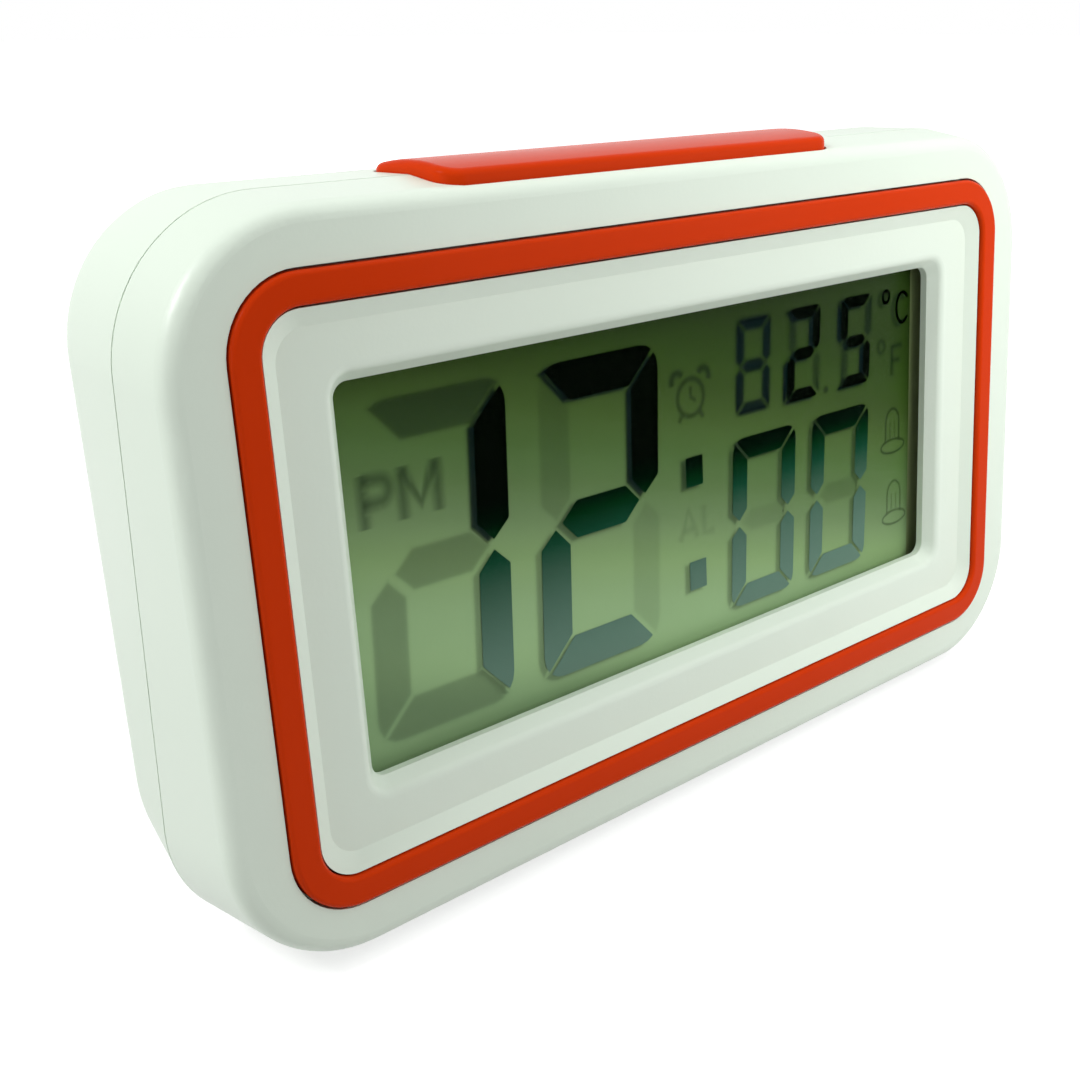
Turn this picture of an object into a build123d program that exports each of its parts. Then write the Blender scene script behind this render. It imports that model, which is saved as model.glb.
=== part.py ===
"""Talking clock: a leaning white case with a recessed display, a trim ring and a talk bar on top.

Millimetres. +Z up, the display faces -Y, the origin is at the middle of the base.
"""
import os
from math import cos, radians, sin, tan

from build123d import *

os.makedirs("parts", exist_ok=True)

soft_edge = 0.5  # rounding of the cells and of small parts

# Case
width = 130.0
depth = 41.4  # trim ring to the alarm slide
seam_height = 74.2  # base to top along the parting line
front_lift = 0.4  # middle of the front above the middle of the parting line
lean = 5.0  # the front face leans back by this angle
wall = 2.0
front_draw_side = 0.7  # the front is this much smaller than the parting line on each side
front_draw_top = 1.1
front_corner = 15.0
front_edge = 1.8
seam_setback = 10.1  # parting line behind the middle of the front face
seam_corner = 14.7
seam_groove = 0.15  # width and depth of the fine line along the seam
lip_thickness = 0.9
lip_length = 2.0
lip_gap = 0.1
flange_depth = 18.4  # front face to the flat back round the hump
flange_drop = 0.4
flange_top_corner = 14.2
flange_low_corner = 20.0
flange_edge = 2.0
hump_setback = 1.5  # start of the hump behind the parting line
hump_flare_side = 6.0
hump_flare_top = 12.0
hump_corner = 8.0
hump_back_corner = 7.0
hump_low_corner = 4.0
hump_edge = 2.5

# Case screws and the bosses that they join
screw_side = 7.5  # centre of a screw from the side of the case
screw_low = 12.0
screw_top = 10.2
front_boss = 3.4
rear_boss = 4.0
screw_seat = 3.0  # wall of the rear boss under the screw head
screw_shank = 1.25
screw_fit = 0.05
screw_length = 7.5
screw_head = 2.6
screw_head_height = 1.7
head_gap = 0.4
pilot_depth = 5.0

# Trim ring
frame_side = 6.1  # white frame outside the ring
frame_top = 5.35
ring_corner = 7.4
ring_strip = 3.05
ring_proud = 0.5
ring_edge = 0.5
ring_seat = 2.0  # depth of the ledge that the ring and the bezel rest on
ring_gap = 0.25
ledge_margin = 3.0
ledge_back = 3.6

# Display bezel: two slopes with a flat band between them
bezel_gap = 0.2
bezel_rim_recess = 0.1
bezel_core_inset = 1.9
slope_run = 1.75
band_recess = 1.1
band_side = 5.1
band_top = 4.45
window_corner = 1.6
inner_slope_run = 1.3
lip_recess = 2.7
slope_corner = 3.2
inner_slope_corner = 2.6
crest_round = 1.2  # soft edge from the band into the window
core_gap = 0.3

# Lens, display and its holder
lens_margin = 1.7
lens_thickness = 1.2
lens_corner = 2.0
lcd_side = 2.2  # display glass behind the bezel
lcd_top = 3.1
lcd_glass = 1.1
lcd_gap = 0.1
lcd_ledge = 3.0  # strip of the front glass that carries the contacts
reflector_thickness = 0.3
holder_side = 2.3
holder_top = 1.7
holder_corner = 2.0
holder_floor = 1.0
pocket_gap = 0.2
holder_lip = 6.0
zebra_inset = 5.0
zebra_thickness = 1.8

# Main board
board_recess = 11.0
board_thickness = 1.6
board_side = 5.5
board_top = 10.5
board_corner = 1.5
notch_gap = 0.8
post_side = 8.6
post_rise = 13.0
post_radius = 2.5
board_screw_shank = 0.9
board_screw_length = 5.5
board_screw_head = 1.8
board_screw_head_height = 1.3
blob_radius = 7.0
blob_height = 1.8
blob_spacing = 34.0
blob_rise = 4.0
crystal_radius = 1.5
crystal_length = 8.0
crystal_x = 36.0
crystal_rise = -10.0
capacitor_radius = 2.0
capacitor_height = 3.6
capacitor_side = 7.0  # left of the battery bay
capacitor_rise = -8.0
capacitor_spacing = 6.0
sensor_radius = 1.2
sensor_length = 3.0
sensor_inset = 12.4
sensor_rise = 12.0

# Talk bar, its guide pegs and its switch
bar_width = 57.7
bar_depth = 12.9
bar_middle = -4.05
bar_setback = 1.3
bar_corner = 2.3
bar_edge = 0.8
bar_proud = 1.6  # front edge of its roof above the front of the case
bar_crown = 25.5  # radius of the roof from front to back
bar_crown_setback = 7.8  # highest line of the roof behind the front of the bar
bar_wall = 1.4
bar_roof = 1.5
bar_gap = 0.25
bar_travel = 1.0
tab_length = 1.6
tab_thickness = 1.1
tab_lift = 0.7  # top of the tabs above the inside of the case at the front face
tab_depth = 6.0
peg_spacing = 40.0
peg_recess = 8.2
peg_radius = 1.5
peg_fit = 0.1
sleeve_radius = 3.0
sleeve_drop = 8.0
sleeve_height = 3.8
sleeve_rib = 2.0
talk_switch_width = 6.0
talk_switch_height = 5.0
talk_switch_depth = 3.4
talk_switch_drop = 0.5  # below the top edge of the board
talk_plunger_radius = 1.0
talk_plunger_proud = 1.6
plunger_fit = 0.1
plunger_root = 2.0  # length of a plunger inside its switch
leg_width = 5.0
leg_gap = 0.05

# Battery bay in the hump
cell_radius = 5.25
cell_length = 44.5
nub_radius = 1.9
nub_length = 1.0
cell_spacing = 11.8
bay_length = 52.0
bay_low = 5.6
bay_height = 24.8
bay_depth = 12.0
tray_wall = 1.6
tray_side = 1.6  # frame of the tray to the side wall of the hump
cell_floor_gap = 0.3
cell_fit = 0.15
cradle_thickness = 1.2
cradle_spacing = 16.0
cradle_height = 3.6
frame_margin = 3.4
frame_thickness = 2.0
contact_thickness = 0.4
contact_width = 8.0
contact_height = 9.0
leaf_width = 5.0
leaf_rise = 3.6
leaf_bend = 0.8
leaf_gap = 0.6  # cell end to the middle of the leaf's bend

# Battery door
door_length = 56.0
door_low = 4.4
door_height = 27.0
door_thickness = 1.8
door_corner = 1.5
door_gap = 0.3
door_edge = 0.4
tab_reach = 1.4
door_tab_thickness = 1.1
door_tab_width = 6.0
door_tab_spacing = 34.0
tongue_width = 11.0
tongue_length = 7.0
tongue_slit = 0.8
tongue_rib = 0.5
tongue_rib_spacing = 1.5
tongue_rib_count = 3
nose_reach = 0.15
finger_radius = 5.2
finger_depth = 1.0

# Speaker
speaker_side = 0.4
speaker_tray_gap = 2.6
speaker_height = 18.0
speaker_radius = 12.3
speaker_flange = 1.0
speaker_rebate = 0.5  # step in the frame's rim that carries the edge of the cone
speaker_rebate_width = 0.8
speaker_cup = 6.6
speaker_cup_depth = 4.6
speaker_sheet = 0.8
speaker_vent = 3.0
magnet_radius = 6.4
magnet_height = 3.6
cone_radius = 10.4
cone_throat = 4.0
cone_depth = 2.6
cone_sheet = 0.4
cone_gap = 0.1
dome_height = 1.2
speaker_rib = 1.0
speaker_rib_height = 2.4
speaker_gap = 0.25
grille_hole = 1.1
grille_ring_radius = 3.6
grille_ring_shares = (1, 2)
grille_hole_count = 6

# Setting buttons, their board and the alarm slide
button_radius = 3.4
button_gap = 0.12
button_proud = 1.2
button_edge = 0.5
button_flange = 0.9
button_flange_height = 0.9
button_stem = 1.5
button_travel = 0.8
button_spacing = 14.0
button_shift = 3.0  # middle of the row to the right of the bay's middle
button_count = 4
button_lift = 11.6  # above the battery bay
button_headroom = 12.0
switch_size = 6.0
switch_height = 3.2
switch_proud = 1.2
switch_plunger = 1.6
button_board_setback = 8.0  # rear wall to the board's rear face
button_board_margin_left = 7.0
button_board_margin_right = 10.0
button_board_height = 13.0
button_board_thickness = 1.6
pillar_radius = 2.5
pillar_shares = (0.5, 3.6)
slide_shift = 1.3
slide_travel = 3.0
slide_knob_length = 3.6
slide_knob_height = 2.4
slide_proud = 1.4
slide_gap = 0.2
slide_plate = 0.8
slide_plate_margin = 1.4
slide_body_length = 11.0
slide_body_height = 5.0
slide_body_depth = 3.6
slide_stem = 1.6
slide_stem_depth = 1.5

# Cables
ribbon_width = 12.0
ribbon_thickness = 0.6
ribbon_bend = 2.0
ribbon_x = -8.0
wire_radius = 0.5
wire_bend_share = 0.45  # share of the shorter run that a bend takes
wire_spacing = 2.4
wire_run = 6.0
wire_hole_gap = 0.3
wire_side = 3.4  # how far the cell wires stand off the battery tray
cell_wire_lift = 2.0
speaker_wire_lift = 15.5

# Sizes that follow from the ones above
centre_height = seam_height / 2 + front_lift
front_width = width - 2 * front_draw_side
front_height = seam_height - 2 * front_draw_top
flange_height = seam_height - flange_drop
ring_width = front_width - 2 * frame_side
ring_height = front_height - 2 * frame_top
bezel_width = ring_width - 2 * ring_strip - 2 * bezel_gap
bezel_height = ring_height - 2 * ring_strip - 2 * bezel_gap
bezel_corner = ring_corner - ring_strip - bezel_gap
core_width = bezel_width - 2 * bezel_core_inset
core_height = bezel_height - 2 * bezel_core_inset
core_corner = bezel_corner - bezel_core_inset
band_width = bezel_width - 2 * slope_run
band_height = bezel_height - 2 * slope_run
window_width = band_width - 2 * band_side - 2 * inner_slope_run
window_height = band_height - 2 * band_top - 2 * inner_slope_run
lens_width = window_width + 2 * lens_margin
lens_height = window_height + 2 * lens_margin
lcd_width = window_width + 2 * lcd_side
lcd_height = window_height + 2 * lcd_top
holder_width = lcd_width + 2 * holder_side
holder_height = lcd_height + 2 * holder_top
board_width = width - 2 * board_side
board_height = front_height - 2 * board_top
post_x = width / 2 - post_side
bar_front_top = front_height / 2 + bar_proud
tab_top = front_height / 2 - wall + tab_lift
bar_base = tab_top - tab_thickness
sleeve_low = front_height / 2 - sleeve_drop
talk_switch_top = board_height / 2 - talk_switch_drop
talk_plunger_top = talk_switch_top + talk_plunger_proud
tray_width = bay_length + 2 * frame_margin
hump_back_width = (
    2 * wall + tray_side + tray_width + speaker_tray_gap + 2 * speaker_radius + speaker_side
)
hump_width = hump_back_width + 2 * hump_flare_side
bay_middle = -hump_back_width / 2 + wall + tray_side + tray_width / 2
speaker_x = hump_back_width / 2 - wall - speaker_side - speaker_radius
button_rise = bay_low + bay_height + button_lift
button_first = bay_middle + button_shift - (button_count - 1) * button_spacing / 2
hump_back_height = button_rise + button_headroom
hump_height = hump_back_height + hump_flare_top
slide_x = speaker_x - slide_shift

# The leaning frame of the front: recess goes in from the face, rise goes up along it
lean_sin = sin(radians(lean))
lean_cos = cos(radians(lean))
face_y = -depth / 2 + ring_proud * lean_cos + ring_height / 2 * lean_sin
seam_y = face_y + seam_setback
rear_y = depth / 2 - slide_proud
inside_y = rear_y - wall
face = Plane(origin=(0, face_y, centre_height), x_dir=(1, 0, 0), z_dir=(0, -lean_cos, lean_sin))
face_axis = Axis(face.origin, face.z_dir)


def upright(y):
    """Upright plane at depth y that looks to the front."""
    return Plane(origin=(0, y, 0), x_dir=(1, 0, 0), z_dir=(0, -1, 0))


def deck(rise):
    """Plane square to the front face, at a rise along it. Its own y is the recess."""
    return Plane(origin=face.from_local_coords((0, rise, 0)), x_dir=(1, 0, 0), z_dir=face.y_dir)


def rise_of(recess, height):
    """Rise along the face of a point at a recess and a height above the base."""
    return (height - centre_height + recess * lean_sin) / lean_cos


def on_face(x, recess, rise):
    """Point of the leaning frame."""
    return face.from_local_coords((x, rise, -recess))


def outline(plane, half, low, high, low_corner, high_corner):
    """Rectangle with two corner radii."""
    with BuildSketch(plane) as sketch:
        with Locations((0, (low + high) / 2)):
            Rectangle(2 * half, high - low)
        fillet(sketch.vertices().group_by(Axis.Y)[0], low_corner)
        fillet(sketch.vertices().group_by(Axis.Y)[-1], high_corner)
    return sketch.sketch.face()


def seam_outline(inset):
    """The case at its parting line."""
    corner = seam_corner - inset
    return outline(upright(seam_y), width / 2 - inset, inset, seam_height - inset, corner, corner)


def front_form(inset):
    """Front half of the case, drawn in by an inset."""
    half = front_height / 2 - inset
    corner = front_corner - inset
    front = outline(face.offset(-inset), front_width / 2 - inset, -half, half, corner, corner)
    with BuildPart() as form:
        loft(sections=[front, seam_outline(inset)], ruled=True)
    return form.part


def flange_form(inset):
    """Rear half of the case up to its flat back."""
    recess = flange_depth - inset
    low = rise_of(recess, inset)
    high = rise_of(recess, flange_height - inset)
    back = outline(
        face.offset(-recess), width / 2 - inset, low, high,
        flange_low_corner - inset, flange_top_corner - inset,
    )
    with BuildPart() as form:
        loft(sections=[seam_outline(inset), back], ruled=True)
    return form.part


def hump_form(inset):
    """Hump for the cells and the speaker behind the flat back."""
    start = outline(
        upright(seam_y + hump_setback), hump_width / 2 - inset, inset, hump_height - inset,
        hump_low_corner - inset, hump_corner - inset,
    )
    end = outline(
        upright(rear_y - inset), hump_back_width / 2 - inset, inset, hump_back_height - inset,
        hump_low_corner - inset, hump_back_corner - inset,
    )
    with BuildPart() as form:
        loft(sections=[start, end], ruled=True)
    return form.part


screw_places = [
    (side * (width / 2 - screw_side), z) for side in (-1, 1) for z in (screw_low, seam_height - screw_top)
]
bar_recess = bar_setback + bar_depth / 2
peg_places = [(bar_middle + side * peg_spacing / 2, peg_recess) for side in (-1, 1)]

# Front case
with BuildPart() as front_bosses:
    with BuildSketch(upright(seam_y)):
        with Locations(*screw_places):
            Circle(front_boss)
    extrude(amount=depth)
    add(front_form(wall / 2), mode=Mode.INTERSECT)

with BuildPart() as front_case:
    add(front_form(0))
    fillet(front_case.faces().sort_by(face_axis)[-1].edges(), front_edge)
    add(front_form(wall), mode=Mode.SUBTRACT)
    # Fine groove along the parting line
    with BuildSketch(upright(seam_y)):
        add(seam_outline(-seam_groove))
        add(seam_outline(seam_groove), mode=Mode.SUBTRACT)
    extrude(amount=seam_groove, mode=Mode.SUBTRACT)
    # Lip that keys into the rear cover
    with BuildSketch(upright(seam_y)):
        add(seam_outline(wall - lip_thickness))
        add(seam_outline(wall), mode=Mode.SUBTRACT)
    extrude(amount=-lip_length)
    # Ledge behind the trim ring and the bezel
    with BuildSketch(face.offset(-wall / 2)):
        RectangleRounded(
            ring_width + 2 * ledge_margin, ring_height + 2 * ledge_margin, ring_corner + ledge_margin
        )
    extrude(amount=wall / 2 - ledge_back)
    add(front_bosses.part)
    # Sleeves that guide the pegs of the talk bar
    with BuildSketch(deck(sleeve_low)):
        with Locations(*peg_places):
            Circle(sleeve_radius)
        with Locations(*[(x, (wall / 2 + peg_recess) / 2) for x, y in peg_places]):
            Rectangle(sleeve_rib, peg_recess - wall / 2)
    extrude(amount=sleeve_height)
    with BuildSketch(deck(sleeve_low)):
        with Locations(*peg_places):
            Circle(peg_radius + peg_fit)
    extrude(amount=sleeve_height, mode=Mode.SUBTRACT)
    # Posts for the main board
    with BuildSketch(face.offset(-wall)):
        with GridLocations(2 * post_x, 2 * post_rise, 2, 2):
            Circle(post_radius)
    extrude(amount=wall - board_recess)
    with BuildSketch(face.offset(-board_recess)):
        with GridLocations(2 * post_x, 2 * post_rise, 2, 2):
            Circle(board_screw_shank + screw_fit)
    extrude(amount=board_screw_length, mode=Mode.SUBTRACT)
    with BuildSketch(upright(seam_y)):
        with Locations(*screw_places):
            Circle(screw_shank + screw_fit)
    extrude(amount=pilot_depth, mode=Mode.SUBTRACT)
    # Seat of the ring and the bezel, and the opening behind it
    with BuildSketch(face):
        RectangleRounded(ring_width + 2 * ring_gap, ring_height + 2 * ring_gap, ring_corner + ring_gap)
    extrude(amount=-ring_seat, mode=Mode.SUBTRACT)
    with BuildSketch(face):
        RectangleRounded(core_width + 2 * core_gap, core_height + 2 * core_gap, core_corner + core_gap)
    extrude(amount=-ledge_back, mode=Mode.SUBTRACT)
    # Slot for the talk bar
    with BuildSketch(deck(bar_base - bar_travel - bar_gap)):
        with Locations((bar_middle, bar_recess)):
            RectangleRounded(bar_width + 2 * bar_gap, bar_depth + 2 * bar_gap, bar_corner + bar_gap)
    extrude(amount=bar_depth, mode=Mode.SUBTRACT)

# Rear cover
bay_left = bay_middle - bay_length / 2
bay_right = bay_middle + bay_length / 2
bay_centre = (bay_middle, bay_low + bay_height / 2)
door_centre = (bay_middle, door_low + door_height / 2)
cell_heights = [bay_low + bay_height / 2 + side * cell_spacing / 2 for side in (-1, 1)]
cell_y = inside_y - bay_depth + cell_floor_gap + cell_radius
button_places = [(button_first + index * button_spacing, button_rise) for index in range(button_count)]
board_rear_y = inside_y - button_board_setback
pillar_places = [(button_first + share * button_spacing, button_rise) for share in pillar_shares]
speaker_place = (speaker_x, speaker_height)
tab_places = [bay_middle + side * door_tab_spacing / 2 for side in (-1, 1)]

with BuildPart() as rear_bosses:
    with BuildSketch(upright(seam_y)):
        with Locations(*screw_places):
            Circle(rear_boss)
    extrude(amount=-depth)
    add(flange_form(wall / 2), mode=Mode.INTERSECT)

with BuildPart() as hump:
    add(hump_form(0))
    fillet(hump.faces().sort_by(Axis.Y)[-1].edges(), hump_edge)

with BuildPart() as cradles:
    with BuildSketch(Plane.YZ.offset(bay_middle)):
        with Locations((inside_y - bay_depth + cradle_height / 2, bay_low + bay_height / 2)):
            Rectangle(cradle_height, bay_height)
        with Locations(*[(cell_y, z) for z in cell_heights]):
            Circle(cell_radius + cell_fit, mode=Mode.SUBTRACT)
    extrude(amount=cradle_thickness / 2, both=True)

with BuildPart() as rear_cover:
    add(flange_form(0))
    fillet(rear_cover.faces().sort_by(face_axis)[0].edges(), flange_edge)
    add(hump.part)
    add(flange_form(wall), mode=Mode.SUBTRACT)
    add(hump_form(wall), mode=Mode.SUBTRACT)
    # Rebate for the lip of the front case
    with BuildSketch(upright(seam_y)):
        add(seam_outline(wall - lip_thickness - lip_gap))
    extrude(amount=-(lip_length + lip_gap), mode=Mode.SUBTRACT)
    # Screw bosses with sunk heads
    add(rear_bosses.part)
    with BuildSketch(upright(seam_y + screw_seat)):
        with Locations(*screw_places):
            Circle(screw_head + head_gap)
    extrude(amount=-depth, mode=Mode.SUBTRACT)
    with BuildSketch(upright(seam_y)):
        with Locations(*screw_places):
            Circle(screw_shank + 2 * screw_fit)
    extrude(amount=-screw_seat, mode=Mode.SUBTRACT)
    # Battery tray with a thick frame round its mouth
    with BuildSketch(upright(inside_y)):
        with Locations(bay_centre):
            Rectangle(tray_width, bay_height + 2 * frame_margin)
    extrude(amount=frame_thickness)
    with BuildSketch(upright(inside_y)):
        with Locations(bay_centre):
            Rectangle(bay_length + 2 * tray_wall, bay_height + 2 * tray_wall)
    extrude(amount=bay_depth + tray_wall)
    with BuildSketch(upright(inside_y)):
        with Locations(bay_centre):
            Rectangle(bay_length, bay_height)
    extrude(amount=bay_depth, mode=Mode.SUBTRACT)
    with Locations(*[(side * cradle_spacing, 0, 0) for side in (-1, 0, 1)]):
        add(cradles.part)
    with BuildSketch(Plane.YZ.offset(bay_left)):
        with Locations(*[(cell_y, z + cell_wire_lift) for z in cell_heights]):
            Circle(wire_radius + wire_hole_gap)
    extrude(amount=-tray_wall, mode=Mode.SUBTRACT)
    # Mouth for the battery door, with slots for its tabs and a finger notch
    with BuildSketch(upright(rear_y)):
        with Locations(door_centre):
            RectangleRounded(door_length + 2 * door_gap, door_height + 2 * door_gap, door_corner + door_gap)
    extrude(amount=wall, mode=Mode.SUBTRACT)
    with BuildSketch(upright(inside_y)):
        with Locations(*[(x, (door_low - tab_reach - door_gap + bay_low) / 2) for x in tab_places]):
            Rectangle(door_tab_width + 2 * door_gap, bay_low - door_low + tab_reach + door_gap)
    extrude(amount=frame_thickness, mode=Mode.SUBTRACT)
    with BuildSketch(upright(rear_y)):
        with Locations((bay_middle, door_low + door_height)):
            Circle(finger_radius)
    extrude(amount=finger_depth, mode=Mode.SUBTRACT)
    # Speaker: a locating rib and the grille
    with BuildSketch(upright(inside_y)):
        with Locations(speaker_place):
            Circle(speaker_radius + speaker_gap + speaker_rib)
            Circle(speaker_radius + speaker_gap, mode=Mode.SUBTRACT)
    extrude(amount=speaker_rib_height)
    with BuildSketch(upright(rear_y)):
        with Locations(speaker_place):
            Circle(grille_hole)
            for share in grille_ring_shares:
                with PolarLocations(share * grille_ring_radius, share * grille_hole_count):
                    Circle(grille_hole)
    extrude(amount=wall, mode=Mode.SUBTRACT)
    # Holes for the buttons and the slide, and pillars for their board
    with BuildSketch(upright(rear_y)):
        with Locations(*button_places):
            Circle(button_radius + button_gap)
        with Locations((slide_x, button_rise)):
            Rectangle(slide_knob_length + slide_travel + 2 * slide_gap, slide_knob_height + 2 * slide_gap)
    extrude(amount=wall, mode=Mode.SUBTRACT)
    with BuildSketch(upright(inside_y)):
        with Locations(*pillar_places):
            Circle(pillar_radius)
            Circle(board_screw_shank + screw_fit, mode=Mode.SUBTRACT)
    extrude(amount=button_board_setback)
    # Slot for the talk bar
    with BuildSketch(deck(bar_base - bar_travel - bar_gap)):
        with Locations((bar_middle, bar_recess)):
            RectangleRounded(bar_width + 2 * bar_gap, bar_depth + 2 * bar_gap, bar_corner + bar_gap)
    extrude(amount=bar_depth, mode=Mode.SUBTRACT)

# Case screws
with BuildPart() as case_screws:
    with BuildSketch(upright(seam_y + screw_seat)):
        with Locations(*screw_places):
            Circle(screw_shank)
    extrude(amount=screw_length)
    with BuildSketch(upright(seam_y + screw_seat)):
        with Locations(*screw_places):
            Circle(screw_head)
    extrude(amount=-screw_head_height)

# Trim ring
with BuildPart() as trim_ring:
    with BuildSketch(face.offset(-ring_seat)):
        RectangleRounded(ring_width, ring_height, ring_corner)
        RectangleRounded(
            ring_width - 2 * ring_strip, ring_height - 2 * ring_strip, ring_corner - ring_strip,
            mode=Mode.SUBTRACT,
        )
    extrude(amount=ring_seat + ring_proud)
    fillet(trim_ring.faces().sort_by(face_axis)[-1].edges(), ring_edge)

# Display bezel
with BuildPart() as outer_slope:
    with BuildSketch(face.offset(-bezel_rim_recess)):
        RectangleRounded(bezel_width, bezel_height, bezel_corner)
    with BuildSketch(face.offset(-band_recess)):
        RectangleRounded(band_width, band_height, slope_corner)
    loft(ruled=True)

with BuildPart() as inner_slope:
    with BuildSketch(face.offset(-band_recess)):
        RectangleRounded(
            window_width + 2 * inner_slope_run, window_height + 2 * inner_slope_run, inner_slope_corner
        )
    with BuildSketch(face.offset(-lip_recess)):
        RectangleRounded(window_width, window_height, window_corner)
    loft(ruled=True)

with BuildPart() as display_bezel:
    with BuildSketch(face.offset(-bezel_rim_recess)):
        RectangleRounded(bezel_width, bezel_height, bezel_corner)
    extrude(amount=bezel_rim_recess - ring_seat)
    with BuildSketch(face.offset(-ring_seat)):
        RectangleRounded(core_width, core_height, core_corner)
    extrude(amount=ring_seat - ledge_back)
    add(outer_slope.part, mode=Mode.SUBTRACT)
    add(inner_slope.part, mode=Mode.SUBTRACT)
    with BuildSketch(face.offset(-lip_recess)):
        RectangleRounded(window_width, window_height, window_corner)
    extrude(amount=lip_recess - ledge_back, mode=Mode.SUBTRACT)
    band = display_bezel.faces().filter_by(face).sort_by(face_axis)[-1]
    fillet(band.inner_wires()[0].edges(), crest_round)

# Lens, display glass, reflector
lcd_front = ledge_back + lens_thickness + lcd_gap
lcd_rear = lcd_front + 2 * lcd_glass
with BuildPart() as display_lens:
    with BuildSketch(face.offset(-ledge_back)):
        RectangleRounded(lens_width, lens_height, lens_corner)
    extrude(amount=-lens_thickness)

with BuildPart() as lcd_panel:
    with BuildSketch(face.offset(-lcd_front)):
        Rectangle(lcd_width, lcd_height)
    extrude(amount=-lcd_glass)
    with BuildSketch(face.offset(-lcd_front - lcd_glass)):
        with Locations((0, lcd_ledge / 2)):
            Rectangle(lcd_width, lcd_height - lcd_ledge)
    extrude(amount=-lcd_glass)

with BuildPart() as lcd_reflector:
    with BuildSketch(face.offset(-lcd_rear)):
        with Locations((0, lcd_ledge / 2)):
            Rectangle(lcd_width, lcd_height - lcd_ledge)
    extrude(amount=-reflector_thickness)

# Holder that clamps the display, and the contact strip under the glass ledge
zebra_rise = (lcd_ledge - lcd_height) / 2
zebra_width = lcd_width - 2 * zebra_inset
holder_seat = lcd_rear + reflector_thickness
with BuildPart() as lcd_holder:
    with BuildSketch(face.offset(-ledge_back)):
        RectangleRounded(holder_width, holder_height, holder_corner)
        Rectangle(lcd_width + 2 * pocket_gap, lcd_height + 2 * pocket_gap, mode=Mode.SUBTRACT)
    extrude(amount=ledge_back - board_recess)
    with BuildSketch(face.offset(-holder_seat)):
        RectangleRounded(holder_width, holder_height, holder_corner)
        Rectangle(lcd_width - 2 * holder_lip, lcd_height - 2 * holder_lip, mode=Mode.SUBTRACT)
        with Locations((0, zebra_rise)):
            Rectangle(zebra_width + 2 * pocket_gap, zebra_thickness + 2 * pocket_gap, mode=Mode.SUBTRACT)
    extrude(amount=-holder_floor)

with BuildPart() as zebra_strip:
    with BuildSketch(face.offset(-lcd_front - lcd_glass)):
        with Locations((0, zebra_rise)):
            Rectangle(zebra_width, zebra_thickness)
    extrude(amount=lcd_front + lcd_glass - board_recess)

# Main board and what it carries
board_back = board_recess + board_thickness
notch_places = [(x, rise_of(board_recess + board_thickness / 2, z)) for x, z in screw_places]
with BuildPart() as main_board:
    with BuildSketch(face.offset(-board_recess)):
        RectangleRounded(board_width, board_height, board_corner)
        with Locations(*notch_places):
            Circle(rear_boss + notch_gap, mode=Mode.SUBTRACT)
        with GridLocations(2 * post_x, 2 * post_rise, 2, 2):
            Circle(board_screw_shank + 2 * screw_fit, mode=Mode.SUBTRACT)
    extrude(amount=-board_thickness)

with BuildPart() as board_screws:
    with BuildSketch(face.offset(-board_back)):
        with GridLocations(2 * post_x, 2 * post_rise, 2, 2):
            Circle(board_screw_shank)
    extrude(amount=board_screw_length)
    with BuildSketch(face.offset(-board_back)):
        with GridLocations(2 * post_x, 2 * post_rise, 2, 2):
            Circle(board_screw_head)
    extrude(amount=-board_screw_head_height)
    fillet(board_screws.faces().group_by(face_axis)[0].edges(), board_screw_head_height / 2)

with BuildPart() as controller_blobs:
    with BuildSketch(face.offset(-board_back)):
        with Locations((-blob_spacing / 2, blob_rise), (blob_spacing / 2, blob_rise)):
            Circle(blob_radius)
    extrude(amount=-blob_height)
    fillet(controller_blobs.faces().group_by(face_axis)[0].edges(), blob_height * 2 / 3)

with BuildPart() as crystal:
    with BuildSketch(deck(crystal_rise)):
        with Locations((crystal_x, board_back + crystal_radius)):
            Circle(crystal_radius)
    extrude(amount=crystal_length)

capacitor_rises = (capacitor_rise, capacitor_rise + capacitor_spacing)
with BuildPart() as capacitors:
    with BuildSketch(face.offset(-board_back)):
        with Locations(*[(bay_left - capacitor_side, rise) for rise in capacitor_rises]):
            Circle(capacitor_radius)
    extrude(amount=-capacitor_height)
    fillet(capacitors.faces().group_by(face_axis)[0].edges(), soft_edge)

with BuildPart() as temperature_sensor:
    with BuildSketch(face.offset(-board_back)):
        with Locations((post_x - sensor_inset, sensor_rise)):
            Circle(sensor_radius)
    extrude(amount=-sensor_length)
    fillet(temperature_sensor.faces().sort_by(face_axis)[0].edges(), sensor_radius / 2)

# Talk switch on the back of the board
talk_switch_recess = board_back + talk_switch_depth / 2
plunger_low = talk_switch_top - plunger_root
with BuildPart() as talk_switch:
    with BuildSketch(deck(talk_switch_top - talk_switch_height)):
        with Locations((bar_middle, talk_switch_recess)):
            Rectangle(talk_switch_width, talk_switch_depth)
    extrude(amount=talk_switch_height)
    with BuildSketch(deck(plunger_low - bar_travel - leg_gap)):
        with Locations((bar_middle, talk_switch_recess)):
            Circle(talk_plunger_radius + plunger_fit)
    extrude(amount=talk_switch_height, mode=Mode.SUBTRACT)

with BuildPart() as talk_plunger:
    with BuildSketch(deck(plunger_low)):
        with Locations((bar_middle, talk_switch_recess)):
            Circle(talk_plunger_radius)
    extrude(amount=talk_plunger_top - plunger_low)

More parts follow.
